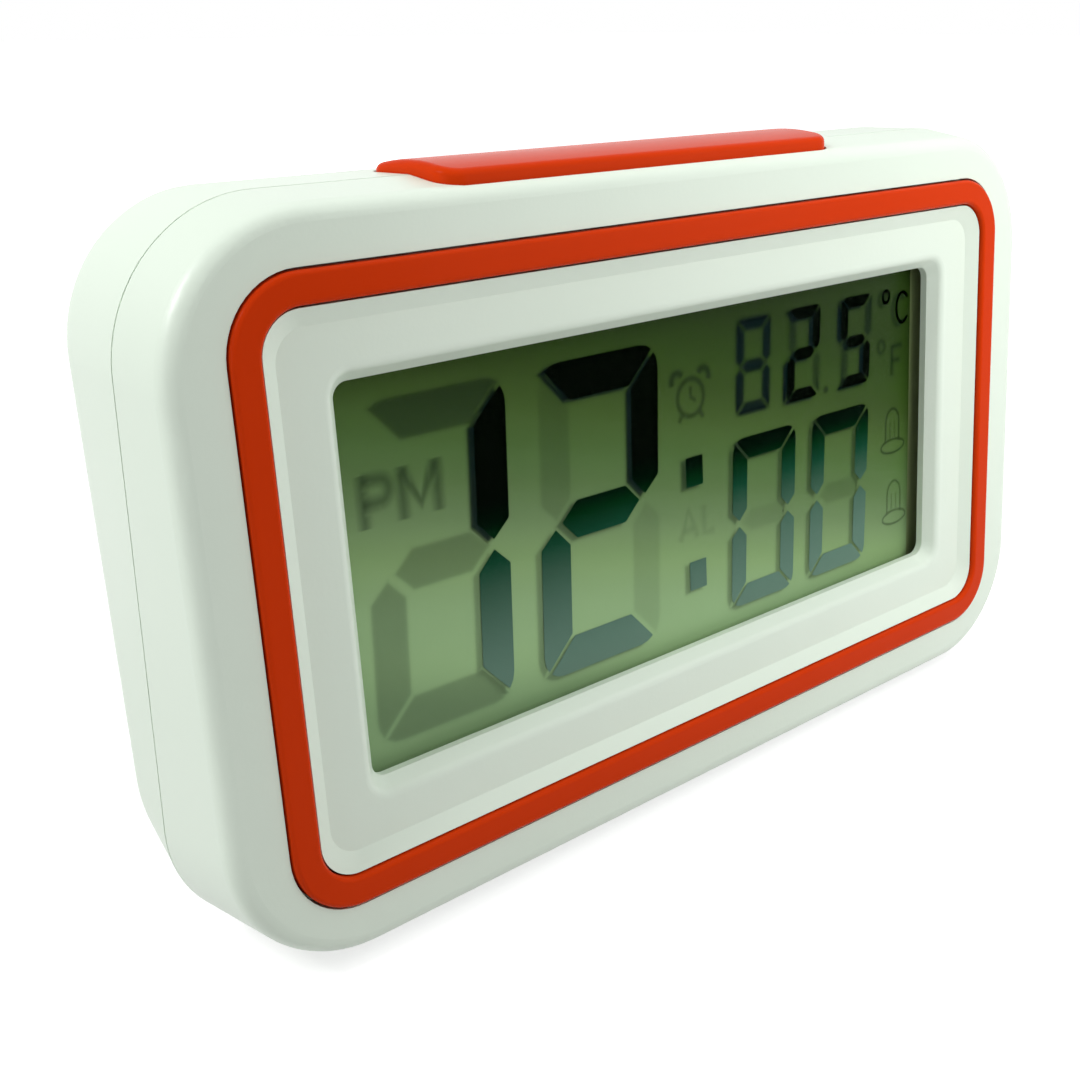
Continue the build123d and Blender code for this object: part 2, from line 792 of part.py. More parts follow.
# Talk bar
bar_crown_drop = (bar_crown ** 2 - bar_crown_setback ** 2) ** 0.5
crown_centre = on_face(bar_middle, bar_setback + bar_crown_setback, bar_front_top - bar_crown_drop)
leg_low = talk_plunger_top + leg_gap
with BuildPart() as talk_bar:
    with BuildSketch(deck(bar_base)):
        with Locations((bar_middle, bar_recess)):
            RectangleRounded(bar_width, bar_depth, bar_corner)
    extrude(amount=bar_depth)
    with Locations(crown_centre):
        Cylinder(bar_crown, 2 * bar_width, rotation=(0, 90, 0), mode=Mode.INTERSECT)
    fillet(talk_bar.faces().sort_by(Axis(face.origin, face.y_dir))[-1].edges(), bar_edge)
    # Hollow underside
    with BuildSketch(deck(bar_base)):
        with Locations((bar_middle, bar_recess)):
            Rectangle(bar_width - 2 * bar_wall, bar_depth - 2 * bar_wall)
    extrude(amount=bar_front_top - bar_roof - bar_base, mode=Mode.SUBTRACT)
    # Tabs that hold the bar under the case top
    with BuildSketch(deck(tab_top - tab_thickness)):
        with Locations(*[(bar_middle + side * bar_width / 2, bar_recess) for side in (-1, 1)]):
            Rectangle(2 * tab_length, tab_depth)
    extrude(amount=tab_thickness)
    # Guide pegs and the leg that presses the switch
    with BuildSketch(deck(sleeve_low)):
        with Locations(*peg_places):
            Circle(peg_radius)
    extrude(amount=bar_front_top - bar_roof - sleeve_low)
    with BuildSketch(deck(leg_low)):
        with Locations((bar_middle, bar_setback + bar_depth - bar_wall / 2)):
            Rectangle(leg_width, bar_wall)
    extrude(amount=bar_base - leg_low)

# Cells
with BuildPart() as cell_low:
    left = bay_left + contact_thickness
    with BuildSketch(Plane.YZ.offset(left + nub_length)):
        with Locations((cell_y, cell_heights[0])):
            Circle(cell_radius)
    extrude(amount=cell_length - nub_length)
    fillet(cell_low.edges().filter_by(GeomType.CIRCLE), soft_edge)
    with BuildSketch(Plane.YZ.offset(left)):
        with Locations((cell_y, cell_heights[0])):
            Circle(nub_radius)
    extrude(amount=nub_length)

with BuildPart() as cell_high:
    right = bay_right - contact_thickness
    with BuildSketch(Plane.YZ.offset(right - nub_length)):
        with Locations((cell_y, cell_heights[1])):
            Circle(cell_radius)
    extrude(amount=nub_length - cell_length)
    fillet(cell_high.edges().filter_by(GeomType.CIRCLE), soft_edge)
    with BuildSketch(Plane.YZ.offset(right)):
        with Locations((cell_y, cell_heights[1])):
            Circle(nub_radius)
    extrude(amount=-nub_length)


def leaf(start_x, reach, height):
    """Bent contact leaf from its plate towards the flat end of a cell."""
    with BuildPart() as strip:
        with BuildSketch(Plane.XZ.offset(-cell_y - leaf_width / 2)):
            with BuildLine():
                FilletPolyline(
                    (start_x, height + leaf_rise),
                    (start_x + reach, height),
                    (start_x + reach / 2, height - leaf_rise),
                    radius=leaf_bend,
                )
            trace(line_width=contact_thickness)
        extrude(amount=leaf_width)
    return strip.part


leaf_reach = bay_length - 2 * contact_thickness - cell_length - leaf_gap
with BuildPart() as contact_positive:
    with BuildSketch(Plane.YZ.offset(bay_left)):
        with Locations((cell_y, cell_heights[0])):
            Rectangle(contact_width, contact_height)
    extrude(amount=contact_thickness)

with BuildPart() as contact_negative:
    with BuildSketch(Plane.YZ.offset(bay_left)):
        with Locations((cell_y, cell_heights[1])):
            Rectangle(contact_width, contact_height)
    extrude(amount=contact_thickness)
    add(leaf(bay_left + contact_thickness / 2, leaf_reach, cell_heights[1]))

with BuildPart() as contact_bridge:
    with BuildSketch(Plane.YZ.offset(bay_right)):
        with Locations((cell_y, sum(cell_heights) / 2)):
            Rectangle(contact_width, contact_height + cell_spacing)
    extrude(amount=-contact_thickness)
    add(leaf(bay_right - contact_thickness / 2, -leaf_reach, cell_heights[0]))

# Battery door
door_inside_y = rear_y - door_thickness
door_top = door_low + door_height
with BuildPart() as battery_door:
    with BuildSketch(upright(rear_y)):
        with Locations(door_centre):
            RectangleRounded(door_length, door_height, door_corner)
    extrude(amount=door_thickness)
    chamfer(battery_door.faces().sort_by(Axis.Y)[-1].edges(), door_edge)
    # Tabs that hook behind the lower edge of the mouth
    with BuildSketch(upright(inside_y - door_gap / 2)):
        with Locations(*[(x, door_low) for x in tab_places]):
            Rectangle(door_tab_width, 2 * tab_reach)
    extrude(amount=door_tab_thickness)
    with BuildSketch(upright(door_inside_y)):
        with Locations(*[(x, door_low + tab_reach / 2) for x in tab_places]):
            Rectangle(door_tab_width, tab_reach)
    extrude(amount=door_gap + wall - door_thickness)
    # Sprung tongue with thumb ribs and a nose
    with BuildSketch(upright(rear_y)):
        with Locations(*[
            (bay_middle + side * tongue_width / 2, door_top - tongue_length / 2) for side in (-1, 1)
        ]):
            Rectangle(tongue_slit, tongue_length)
    extrude(amount=door_thickness, mode=Mode.SUBTRACT)
    with BuildSketch(upright(door_inside_y + door_thickness / 2)):
        with Locations((bay_middle, door_top - tongue_rib)):
            Rectangle(tongue_width - 2 * tongue_slit, 2 * (tongue_rib + nose_reach))
    extrude(amount=door_thickness / 2)
    with BuildSketch(upright(rear_y + tongue_rib)):
        with Locations((bay_middle, door_top - tongue_length / 2)):
            with GridLocations(0, tongue_rib_spacing, 1, tongue_rib_count):
                Rectangle(tongue_width - 3 * tongue_slit, tongue_rib)
    extrude(amount=2 * tongue_rib)

# Speaker, built round its own axis behind the grille
speaker_plane = Plane(origin=(speaker_x, inside_y, speaker_height), x_dir=(1, 0, 0), z_dir=(0, 0, 1))
speaker_axis = Axis((speaker_x, 0, speaker_height), (0, 1, 0))
with BuildPart() as speaker_frame:
    with BuildSketch(speaker_plane):
        with BuildLine():
            Polyline(
                (speaker_radius, 0),
                (speaker_radius, -speaker_flange),
                (cone_radius + speaker_rebate_width, -speaker_flange),
                (speaker_cup, -speaker_cup_depth),
                (speaker_vent, -speaker_cup_depth),
                (speaker_vent, speaker_sheet - speaker_cup_depth),
                (speaker_cup - speaker_sheet, speaker_sheet - speaker_cup_depth),
                (cone_radius, -speaker_rebate),
                (cone_radius + speaker_rebate_width, -speaker_rebate),
                (cone_radius + speaker_rebate_width, 0),
                close=True,
            )
        make_face()
    revolve(axis=speaker_axis)

with BuildPart() as speaker_magnet:
    with BuildSketch(upright(inside_y - speaker_cup_depth)):
        with Locations(speaker_place):
            Circle(magnet_radius)
    extrude(amount=magnet_height)
    fillet(speaker_magnet.faces().sort_by(Axis.Y)[0].edges(), soft_edge)

with BuildPart() as speaker_cone:
    with BuildSketch(speaker_plane):
        with BuildLine():
            Polyline(
                (0, dome_height - cone_depth),
                (cone_throat, -cone_depth),
                (cone_radius - speaker_rebate_width, cone_sheet - speaker_rebate),
                (cone_radius + speaker_rebate_width - cone_gap, cone_sheet - speaker_rebate),
                (cone_radius + speaker_rebate_width - cone_gap, -speaker_rebate),
                (cone_radius - 2 * speaker_rebate_width, -speaker_rebate),
                (cone_throat, -cone_depth - cone_sheet),
                (0, dome_height - cone_depth - cone_sheet),
                close=True,
            )
        make_face()
    revolve(axis=speaker_axis)

# Button board with its switches
button_board_left = button_first - button_board_margin_left
button_board_right = slide_x + button_board_margin_right
button_board_low = button_rise - button_board_height / 2
button_board_middle = (button_board_left + button_board_right) / 2
with BuildPart() as button_board:
    with BuildSketch(upright(board_rear_y)):
        with Locations((button_board_middle, button_rise)):
            RectangleRounded(button_board_right - button_board_left, button_board_height, board_corner)
        with Locations(*pillar_places):
            Circle(board_screw_shank + 2 * screw_fit, mode=Mode.SUBTRACT)
    extrude(amount=button_board_thickness)

with BuildPart() as button_board_screws:
    with BuildSketch(upright(board_rear_y - button_board_thickness)):
        with Locations(*pillar_places):
            Circle(board_screw_head)
    extrude(amount=board_screw_head_height)
    with BuildSketch(upright(board_rear_y - button_board_thickness)):
        with Locations(*pillar_places):
            Circle(board_screw_shank)
    extrude(amount=-board_screw_length)

switch_face_y = board_rear_y + switch_height
plunger_end_y = switch_face_y + switch_proud
with BuildPart() as setting_switches:
    with BuildSketch(upright(board_rear_y)):
        with Locations(*button_places):
            Rectangle(switch_size, switch_size)
    extrude(amount=-switch_height)
    with BuildSketch(upright(switch_face_y)):
        with Locations(*button_places):
            Circle(switch_plunger + plunger_fit)
    extrude(amount=plunger_root, mode=Mode.SUBTRACT)

button_names = ("set", "hour", "minute", "mode")
plungers = []
buttons = []
for name, place in zip(button_names, button_places):
    with BuildPart() as plunger:
        with BuildSketch(upright(plunger_end_y)):
            with Locations(place):
                Circle(switch_plunger)
        extrude(amount=switch_proud + plunger_root - button_travel - leg_gap)
    plungers.append((name + "_plunger", plunger))
    with BuildPart() as button:
        with BuildSketch(upright(rear_y + button_proud)):
            with Locations(place):
                Circle(button_radius)
        extrude(amount=button_proud + wall)
        fillet(button.faces().sort_by(Axis.Y)[-1].edges(), button_edge)
        with BuildSketch(upright(inside_y)):
            with Locations(place):
                Circle(button_radius + button_flange)
        extrude(amount=button_flange_height)
        with BuildSketch(upright(inside_y - button_flange_height)):
            with Locations(place):
                Circle(button_stem)
        extrude(amount=inside_y - button_flange_height - plunger_end_y - leg_gap)
    buttons.append((name + "_button", button))

# Alarm slide: the knob rests at its left end as seen from the front
knob_x = slide_x - slide_travel / 2
slide_face_y = board_rear_y + slide_body_depth
with BuildPart() as alarm_switch_body:
    with BuildSketch(upright(board_rear_y)):
        with Locations((slide_x, button_rise)):
            Rectangle(slide_body_length, slide_body_height)
    extrude(amount=-slide_body_depth)
    with BuildSketch(upright(slide_face_y)):
        with Locations((slide_x, button_rise)):
            Rectangle(slide_stem + slide_travel + 2 * slide_gap, slide_stem + 2 * slide_gap)
    extrude(amount=slide_stem_depth + slide_gap, mode=Mode.SUBTRACT)

with BuildPart() as alarm_knob:
    with BuildSketch(upright(rear_y + slide_proud)):
        with Locations((knob_x, button_rise)):
            Rectangle(slide_knob_length, slide_knob_height)
    extrude(amount=slide_proud + wall)
    chamfer(alarm_knob.faces().sort_by(Axis.Y)[-1].edges(), door_edge)
    with BuildSketch(upright(inside_y)):
        with Locations((knob_x, button_rise)):
            Rectangle(
                slide_knob_length + slide_travel + 2 * slide_plate_margin,
                slide_knob_height + 2 * slide_plate_margin,
            )
    extrude(amount=slide_plate)
    with BuildSketch(upright(inside_y - slide_plate)):
        with Locations((knob_x, button_rise)):
            Rectangle(slide_stem, slide_stem)
    extrude(amount=inside_y - slide_plate - slide_face_y + slide_stem_depth)

# Ribbon cable between the boards, and the wires of the speaker and the cells
ribbon_rise = (blob_rise + blob_radius + talk_switch_top - talk_switch_height) / 2
ribbon_start = on_face(0, board_back, ribbon_rise)
ribbon_end_y = board_rear_y - button_board_thickness
ribbon_slack = (ribbon_end_y - ribbon_start.Y) / 2
with BuildPart() as ribbon_cable:
    with BuildSketch(Plane.YZ.offset(ribbon_x)):
        with BuildLine():
            FilletPolyline(
                (ribbon_start.Y, ribbon_start.Z),
                (ribbon_start.Y + ribbon_slack * lean_cos, ribbon_start.Z - ribbon_slack * lean_sin),
                (ribbon_end_y - ribbon_slack, button_board_low + ribbon_bend),
                (ribbon_end_y, button_board_low + ribbon_bend),
                radius=ribbon_bend,
            )
        trace(line_width=ribbon_thickness)
    extrude(amount=ribbon_width / 2, both=True)


def wire(points):
    """Insulated wire along straight runs joined by wide bends."""
    radii = []
    for before, corner, after in zip(points, points[1:], points[2:]):
        turn = 180 - (before - corner).get_angle(after - corner)
        run = min((before - corner).length, (after - corner).length)
        radii.append(wire_bend_share * run / tan(radians(turn / 2)))
    with BuildPart() as tube:
        with BuildLine() as path:
            FilletPolyline(*points, radius=radii)
        with BuildSketch(Plane(origin=path.line @ 0, z_dir=path.line % 0)):
            Circle(wire_radius)
        sweep()
    return tube.part


def wire_end(x, height):
    """Last two points of a wire that meets the back of the main board squarely."""
    rise = rise_of(board_back, height)
    return [on_face(x, board_back + wire_run, rise), on_face(x, board_back, rise)]


speaker_wire_radius = cone_radius + speaker_rebate_width + wire_radius
with BuildPart() as speaker_wires:
    for side in (-1, 1):
        x = speaker_x + side * wire_spacing / 2
        start = Vector(x, inside_y - speaker_flange, speaker_height + speaker_wire_radius)
        bend = start - Vector(0, speaker_cup_depth + wire_run, 0)
        add(wire([start, bend] + wire_end(x, speaker_height + speaker_wire_lift)))

with BuildPart() as battery_wires:
    for height in cell_heights:
        z = height + cell_wire_lift
        start = Vector(bay_left, cell_y, z)
        bend = start - Vector(wire_side, 0, 0)
        add(wire([start, bend] + wire_end(bend.X, z)))

fixed_pieces = {
    "front_case": front_case,
    "rear_cover": rear_cover,
    "case_screws": case_screws,
    "trim_ring": trim_ring,
    "display_bezel": display_bezel,
    "display_lens": display_lens,
    "lcd_panel": lcd_panel,
    "lcd_reflector": lcd_reflector,
    "lcd_holder": lcd_holder,
    "zebra_strip": zebra_strip,
    "main_board": main_board,
    "board_screws": board_screws,
    "controller_blobs": controller_blobs,
    "crystal": crystal,
    "capacitors": capacitors,
    "temperature_sensor": temperature_sensor,
    "talk_switch": talk_switch,
    "talk_plunger": talk_plunger,
    "talk_bar": talk_bar,
    "cell_low": cell_low,
    "cell_high": cell_high,
    "contact_positive": contact_positive,
    "contact_negative": contact_negative,
    "contact_bridge": contact_bridge,
    "battery_door": battery_door,
    "speaker_frame": speaker_frame,
    "speaker_magnet": speaker_magnet,
    "speaker_cone": speaker_cone,
    "button_board": button_board,
    "button_board_screws": button_board_screws,
    "setting_switches": setting_switches,
    "alarm_switch_body": alarm_switch_body,
    "alarm_knob": alarm_knob,
    "ribbon_cable": ribbon_cable,
    "speaker_wires": speaker_wires,
    "battery_wires": battery_wires,
}
for name, piece in list(fixed_pieces.items()) + plungers + buttons:
    piece.part.label = name
    export_step(piece.part, f"parts/{name}.step")
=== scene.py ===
"""Looks of the talking clock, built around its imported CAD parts."""
import math

import bmesh
import bpy
from mathutils import Matrix, Vector


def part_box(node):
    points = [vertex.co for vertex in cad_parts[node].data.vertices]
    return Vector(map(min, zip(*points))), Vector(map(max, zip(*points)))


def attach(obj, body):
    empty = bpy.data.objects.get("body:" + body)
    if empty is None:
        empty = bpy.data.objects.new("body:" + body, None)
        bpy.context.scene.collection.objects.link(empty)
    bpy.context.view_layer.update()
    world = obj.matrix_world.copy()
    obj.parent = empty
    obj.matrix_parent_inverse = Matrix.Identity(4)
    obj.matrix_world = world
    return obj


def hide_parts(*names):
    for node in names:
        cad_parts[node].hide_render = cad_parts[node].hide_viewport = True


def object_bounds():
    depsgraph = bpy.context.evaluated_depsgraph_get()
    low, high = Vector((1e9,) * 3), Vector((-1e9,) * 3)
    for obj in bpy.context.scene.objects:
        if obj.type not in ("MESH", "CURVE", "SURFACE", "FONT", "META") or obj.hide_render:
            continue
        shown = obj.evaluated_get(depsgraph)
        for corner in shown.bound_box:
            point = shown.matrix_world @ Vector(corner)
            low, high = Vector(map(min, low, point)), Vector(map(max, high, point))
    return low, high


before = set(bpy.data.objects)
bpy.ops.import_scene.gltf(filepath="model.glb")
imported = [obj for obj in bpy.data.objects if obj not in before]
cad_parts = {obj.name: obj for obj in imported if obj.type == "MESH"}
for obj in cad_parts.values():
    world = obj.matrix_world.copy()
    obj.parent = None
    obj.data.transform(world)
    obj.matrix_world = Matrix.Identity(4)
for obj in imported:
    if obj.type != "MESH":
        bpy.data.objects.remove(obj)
cad_low, cad_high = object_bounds()
mm = 0.001


# Camera. It stands near the left of the clock and a little above it, at the angle and with the
# strong perspective of the photograph.
camera_place = Vector((-113.52, -118.02, 88.15)) * mm
camera_aim = Vector((-25.47, -17.51, 37.74)) * mm
camera_roll = math.radians(-0.25)
camera_lens, camera_sensor = 46.16, 36  # millimetres, as cameras state them
camera_near = 5 * mm
camera = bpy.data.objects.new("camera", bpy.data.cameras.new("camera"))
bpy.context.collection.objects.link(camera)
camera.data.lens = camera_lens
camera.data.sensor_width = camera_sensor
camera.data.sensor_fit = "HORIZONTAL"
camera.data.clip_start = camera_near
camera.location = camera_place
camera.rotation_euler = (camera_aim - camera_place).to_track_quat("-Z", "Y").to_euler()
camera.rotation_euler.rotate_axis("Z", camera_roll)
bpy.context.scene.camera = camera


# Floor and lamps. A pale matt table in a white room. Lamps stand at the left, over the left
# shoulder, above and behind, and two small ones stand near the front on the right.
def srgb(red, green, blue):
    """Scene colour of an 8-bit screen colour."""
    def channel(value):
        share = value / 255
        return share / 12.92 if share <= 0.04045 else ((share + 0.055) / 1.055) ** 2.4
    return (channel(red), channel(green), channel(blue), 1.0)


def new_material(name):
    """Empty node material: the material, its nodes, its links and its principled shader."""
    material = bpy.data.materials.new(name)
    material.use_nodes = True
    nodes, links = material.node_tree.nodes, material.node_tree.links
    return material, nodes, links, nodes["Principled BSDF"]


def feed(links, socket, value):
    """Joins another node's output to a socket, or sets the socket to a number."""
    if isinstance(value, bpy.types.NodeSocket):
        links.new(value, socket)
    else:
        socket.default_value = value


def math_node(nodes, links, operation, *values):
    """Output of a math node; each value is a number or another output."""
    node = nodes.new("ShaderNodeMath")
    node.operation = operation
    for socket, value in zip(node.inputs, values):
        feed(links, socket, value)
    return node.outputs[0]


def ranged(nodes, links, value, low, high, new_low=0.0, new_high=1.0):
    """Value brought from the range low to high into a new range, and held inside it."""
    node = nodes.new("ShaderNodeMapRange")
    links.new(value, node.inputs["Value"])
    ends = {"From Min": low, "From Max": high, "To Min": new_low, "To Max": new_high}
    for name, end in ends.items():
        feed(links, node.inputs[name], end)
    return node.outputs["Result"]


white = (1, 1, 1, 1)
room_glow = 0.26  # strength of the room's light on the clock; the room is seen at 1
world = bpy.data.worlds.new("white_room")
bpy.context.scene.world = world
world.use_nodes = True
nodes, links = world.node_tree.nodes, world.node_tree.links
background = nodes["Background"]
background.inputs["Color"].default_value = white
rays = nodes.new("ShaderNodeLightPath").outputs
seen = math_node(nodes, links, "MAXIMUM", rays["Is Camera Ray"], rays["Is Transmission Ray"])
seen = math_node(nodes, links, "MAXIMUM", seen, rays["Is Glossy Ray"])
links.new(ranged(nodes, links, seen, 0.0, 1.0, room_glow, 1.0), background.inputs["Strength"])

floor_size = 6.0
floor_grey, floor_roughness, floor_gloss = 0.55, 0.8, 0.1
floor_near, floor_far = 0.1, 0.5  # the table fades into the white room between these distances
glow_near, glow_far = 0.66, 1.0
floor_mesh = bpy.data.meshes.new("floor")
floor_corners = ((-1, -1), (1, -1), (1, 1), (-1, 1))
floor_mesh.from_pydata(
    [(x * floor_size, y * floor_size, cad_low[2]) for x, y in floor_corners], [], [(0, 1, 2, 3)]
)
floor = bpy.data.objects.new("floor", floor_mesh)
bpy.context.collection.objects.link(floor)
floor_material, nodes, links, shader = new_material("pale_table")
shader.inputs["Base Color"].default_value = (floor_grey, floor_grey, floor_grey, 1)
shader.inputs["Roughness"].default_value = floor_roughness
shader.inputs["Specular IOR Level"].default_value = floor_gloss
shader.inputs["Emission Color"].default_value = white
rays = nodes.new("ShaderNodeLightPath").outputs
seen = math_node(nodes, links, "MAXIMUM", rays["Is Camera Ray"], rays["Is Glossy Ray"])
place = nodes.new("ShaderNodeTexCoord")
distance = nodes.new("ShaderNodeVectorMath")
distance.operation = "LENGTH"
links.new(place.outputs["Object"], distance.inputs[0])
distance = distance.outputs["Value"]
glow = ranged(nodes, links, distance, floor_near, floor_far, glow_near, glow_far)
glow = math_node(nodes, links, "MULTIPLY", seen, glow)
links.new(glow, shader.inputs["Emission Strength"])
floor_mesh.materials.append(floor_material)

lamps = (
    # name, place, aim, size, watts, whether it glints on gloss
    ("lamp_left", (-0.80, -0.15, 0.10), (0, 0, 0.03), 0.4, 0.6, True),
    ("lamp_shoulder", (-0.26, 0.02, 0.26), (-0.06, 0, 0.06), 0.1, 0.6, True),
    ("lamp_above", (0.15, 0.05, 0.75), (0, 0, 0.03), 0.5, 0.9, True),
    ("lamp_behind", (0.30, 0.70, 0.15), (0, 0, 0.03), 0.4, 2.2, False),
    ("lamp_right", (0.10, -0.13, 0.09), (0.05, -0.01, 0.045), 0.1, 0.12, False),
    ("lamp_brow", (0.05, -0.10, 0.18), (0.03, -0.01, 0.05), 0.08, 0.08, False),
)
for name, lamp_place, aim, size, watts, glints in lamps:
    lamp = bpy.data.objects.new(name, bpy.data.lights.new(name, "AREA"))
    lamp.data.size = size
    lamp.data.energy = watts
    lamp.location = lamp_place
    lamp.rotation_euler = (Vector(aim) - Vector(lamp_place)).to_track_quat("-Z", "Y").to_euler()
    lamp.visible_camera = False
    lamp.visible_glossy = glints
    bpy.context.collection.objects.link(lamp)


# Front case, rear cover, display bezel and battery door. Injection-moulded white ABS with a faint
# cool green cast, a fine satin grain and slight clouding. Four screws draw the two shells together.
cloud_detail, grain_detail = 4.0, 2.0
cloud_dark, cloud_light = 0.3, 0.7  # clouding at which the roughness is lowest and highest


def noise(nodes, links, scale, detail=grain_detail):
    """Uneven values from 0 to 1, fixed to the piece."""
    place = nodes.new("ShaderNodeTexCoord")
    node = nodes.new("ShaderNodeTexNoise")
    node.inputs["Detail"].default_value = detail
    links.new(place.outputs["Object"], node.inputs["Vector"])
    feed(links, node.inputs["Scale"], scale)
    return node.outputs["Fac"]


def mixed(nodes, links, share, first, second):
    """Colour between two others."""
    node = nodes.new("ShaderNodeMix")
    node.data_type = "RGBA"
    for name, value in (("Factor", share), ("A", first), ("B", second)):
        feed(links, node.inputs[name], value)
    return node.outputs["Result"]


def add_grain(nodes, links, shader, height, depth):
    """Lets a shader show a height as a bump of the given depth."""
    bump = nodes.new("ShaderNodeBump")
    bump.inputs["Distance"].default_value = depth
    links.new(height, bump.inputs["Height"])
    links.new(bump.outputs["Normal"], shader.inputs["Normal"])


def surface_group():
    """Shader group for moulded parts: clouding of the colour, uneven gloss and a fine grain."""
    group = bpy.data.node_groups.new("moulded_surface", "ShaderNodeTree")
    sockets = {
        "INPUT": {
            "Color": "NodeSocketColor", "Cloud Color": "NodeSocketColor",
            "Cloud Scale": "NodeSocketFloat", "Gloss Low": "NodeSocketFloat",
            "Gloss High": "NodeSocketFloat", "Grain Scale": "NodeSocketFloat",
        },
        "OUTPUT": {
            "Color": "NodeSocketColor", "Roughness": "NodeSocketFloat", "Grain": "NodeSocketFloat",
        },
    }
    for way, kinds in sockets.items():
        for name, kind in kinds.items():
            group.interface.new_socket(name=name, in_out=way, socket_type=kind)
    nodes, links = group.nodes, group.links
    given = nodes.new("NodeGroupInput").outputs
    result = nodes.new("NodeGroupOutput").inputs
    cloud = noise(nodes, links, given["Cloud Scale"], cloud_detail)
    tint = mixed(nodes, links, cloud, given["Color"], given["Cloud Color"])
    gloss = ranged(
        nodes, links, cloud, cloud_dark, cloud_light, given["Gloss Low"], given["Gloss High"]
    )
    links.new(tint, result["Color"])
    links.new(gloss, result["Roughness"])
    links.new(noise(nodes, links, given["Grain Scale"]), result["Grain"])
    return group


moulded_surface = surface_group()


def moulded(name, colour, cloud, gloss, cloud_size=30 * mm, grain_size=0.5 * mm,
            grain_depth=0.01 * mm):
    """Material of a moulded or pressed part; gloss is its range of roughness."""
    material, nodes, links, shader = new_material(name)
    surface = nodes.new("ShaderNodeGroup")
    surface.node_tree = moulded_surface
    values = {
        "Color": srgb(*colour), "Cloud Color": srgb(*cloud), "Cloud Scale": 1 / cloud_size,
        "Gloss Low": gloss[0], "Gloss High": gloss[1], "Grain Scale": 1 / grain_size,
    }
    for socket, value in values.items():
        surface.inputs[socket].default_value = value
    links.new(surface.outputs["Color"], shader.inputs["Base Color"])
    links.new(surface.outputs["Roughness"], shader.inputs["Roughness"])
    add_grain(nodes, links, shader, surface.outputs["Grain"], grain_depth)
    return material


def dress(material, *nodes):
    """Gives CAD pieces their finish."""
    for node in nodes:
        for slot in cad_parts[node].material_slots:
            slot.material = material


white_plastic = moulded(
    "white_abs", colour=(226, 238, 224), cloud=(221, 234, 219), gloss=(0.30, 0.40)
)
dress(white_plastic, "front_case", "rear_cover", "display_bezel", "battery_door")


# Trim ring and talk bar. Orange ABS, moulded smooth. The ring is pressed into the front frame,
# and the bar slides in a slot of the top.
orange_shine = 0.03
orange_plastic = moulded(
    "orange_abs", colour=(210, 58, 10), cloud=(204, 54, 8), gloss=(0.18, 0.26),
    grain_depth=0.004 * mm,
)
shader = orange_plastic.node_tree.nodes["Principled BSDF"]
shader.inputs["Specular IOR Level"].default_value = orange_shine
dress(orange_plastic, "trim_ring", "talk_bar")


# Rear buttons, alarm knob and plungers. The caps are moulded in grey, lightly textured plastic and
# sit in openings of the rear cover. The plungers under them and under the bar are natural nylon.
button_plastic = moulded(
    "grey_button", colour=(120, 124, 126), cloud=(108, 112, 114), gloss=(0.4, 0.5)
)
plunger_plastic = moulded(
    "natural_nylon", colour=(216, 212, 200), cloud=(206, 202, 190), gloss=(0.35, 0.5)
)
dress(button_plastic, "set_button", "hour_button", "minute_button", "mode_button", "alarm_knob")
dress(
    plunger_plastic,
    "set_plunger", "hour_plunger", "minute_plunger", "mode_plunger", "talk_plunger",
)


# Window. A clear acrylic plate, cut from sheet and held behind the bezel. It is all but invisible,
# with a slight uneven haze.
window_colour = (0.006, 0.012, 0.005, 1)
window_roughness = 0.06
haze_size = 12 * mm
haze_low, haze_high = 0.01, 0.025  # how much of the view the haze hides
window, nodes, links, shader = new_material("clear_acrylic")
shader.inputs["Base Color"].default_value = window_colour
shader.inputs["Roughness"].default_value = window_roughness
haze = ranged(nodes, links, noise(nodes, links, 1 / haze_size), 0.0, 1.0, haze_low, haze_high)
links.new(haze, shader.inputs["Alpha"])
dress(window, "display_lens")


# Display glass. Two glass plates with a film on them, clamped behind the window. The film's colour
# holds painted shading:
# light grey green at the bottom to dark olive at the top right, its look from above left with the
# bezel's shade painted in at the top. Past its end the bare glass is darker, in one flat colour.
glass_low, glass_high = 8.0, 72.0  # heights that the colours are spread over, in millimetres
# slant of the painted shading: it darkens to the right as well as upwards
painted_shade_slant = 0.24  # the glass darkens to the right by this share of its darkening upwards
# painted shading of the film: its look at this angle, and the bezel's shade near the top
shaded_glass_stops = (
    # height, colour
    (12.5, srgb(143, 176, 127)), (16.5, srgb(156, 190, 137)), (20.5, srgb(156, 190, 138)),
    (24.0, srgb(150, 183, 131)), (28.0, srgb(138, 170, 115)), (32.0, srgb(119, 148, 100)),
    (36.0, srgb(99, 128, 79)), (40.0, srgb(84, 114, 62)), (44.0, srgb(72, 99, 46)),
    (48.0, srgb(57, 81, 31)), (52.0, srgb(46, 71, 20)), (58.0, srgb(36, 58, 13)),
)
# painted lighter than the bare glass looks, to make up for the bezel's shadow on it
bare_glass = srgb(118, 132, 88)
film_end = 46.3 * mm
glass_roughness, glass_shine = 0.35, 0.05


def height_on_glass(nodes, links, slant):
    """Height above the clock's base in millimetres, plus a share of the way to the right."""
    place = nodes.new("ShaderNodeTexCoord")
    dot = nodes.new("ShaderNodeVectorMath")
    dot.operation = "DOT_PRODUCT"
    dot.inputs[1].default_value = (slant / mm, 0, 1 / mm)
    links.new(place.outputs["Object"], dot.inputs[0])
    return dot.outputs["Value"]


def along_x(nodes, links):
    """Place along the width of the clock."""
    place = nodes.new("ShaderNodeTexCoord")
    axes = nodes.new("ShaderNodeSeparateXYZ")
    links.new(place.outputs["Object"], axes.inputs["Vector"])
    return axes.outputs["X"]


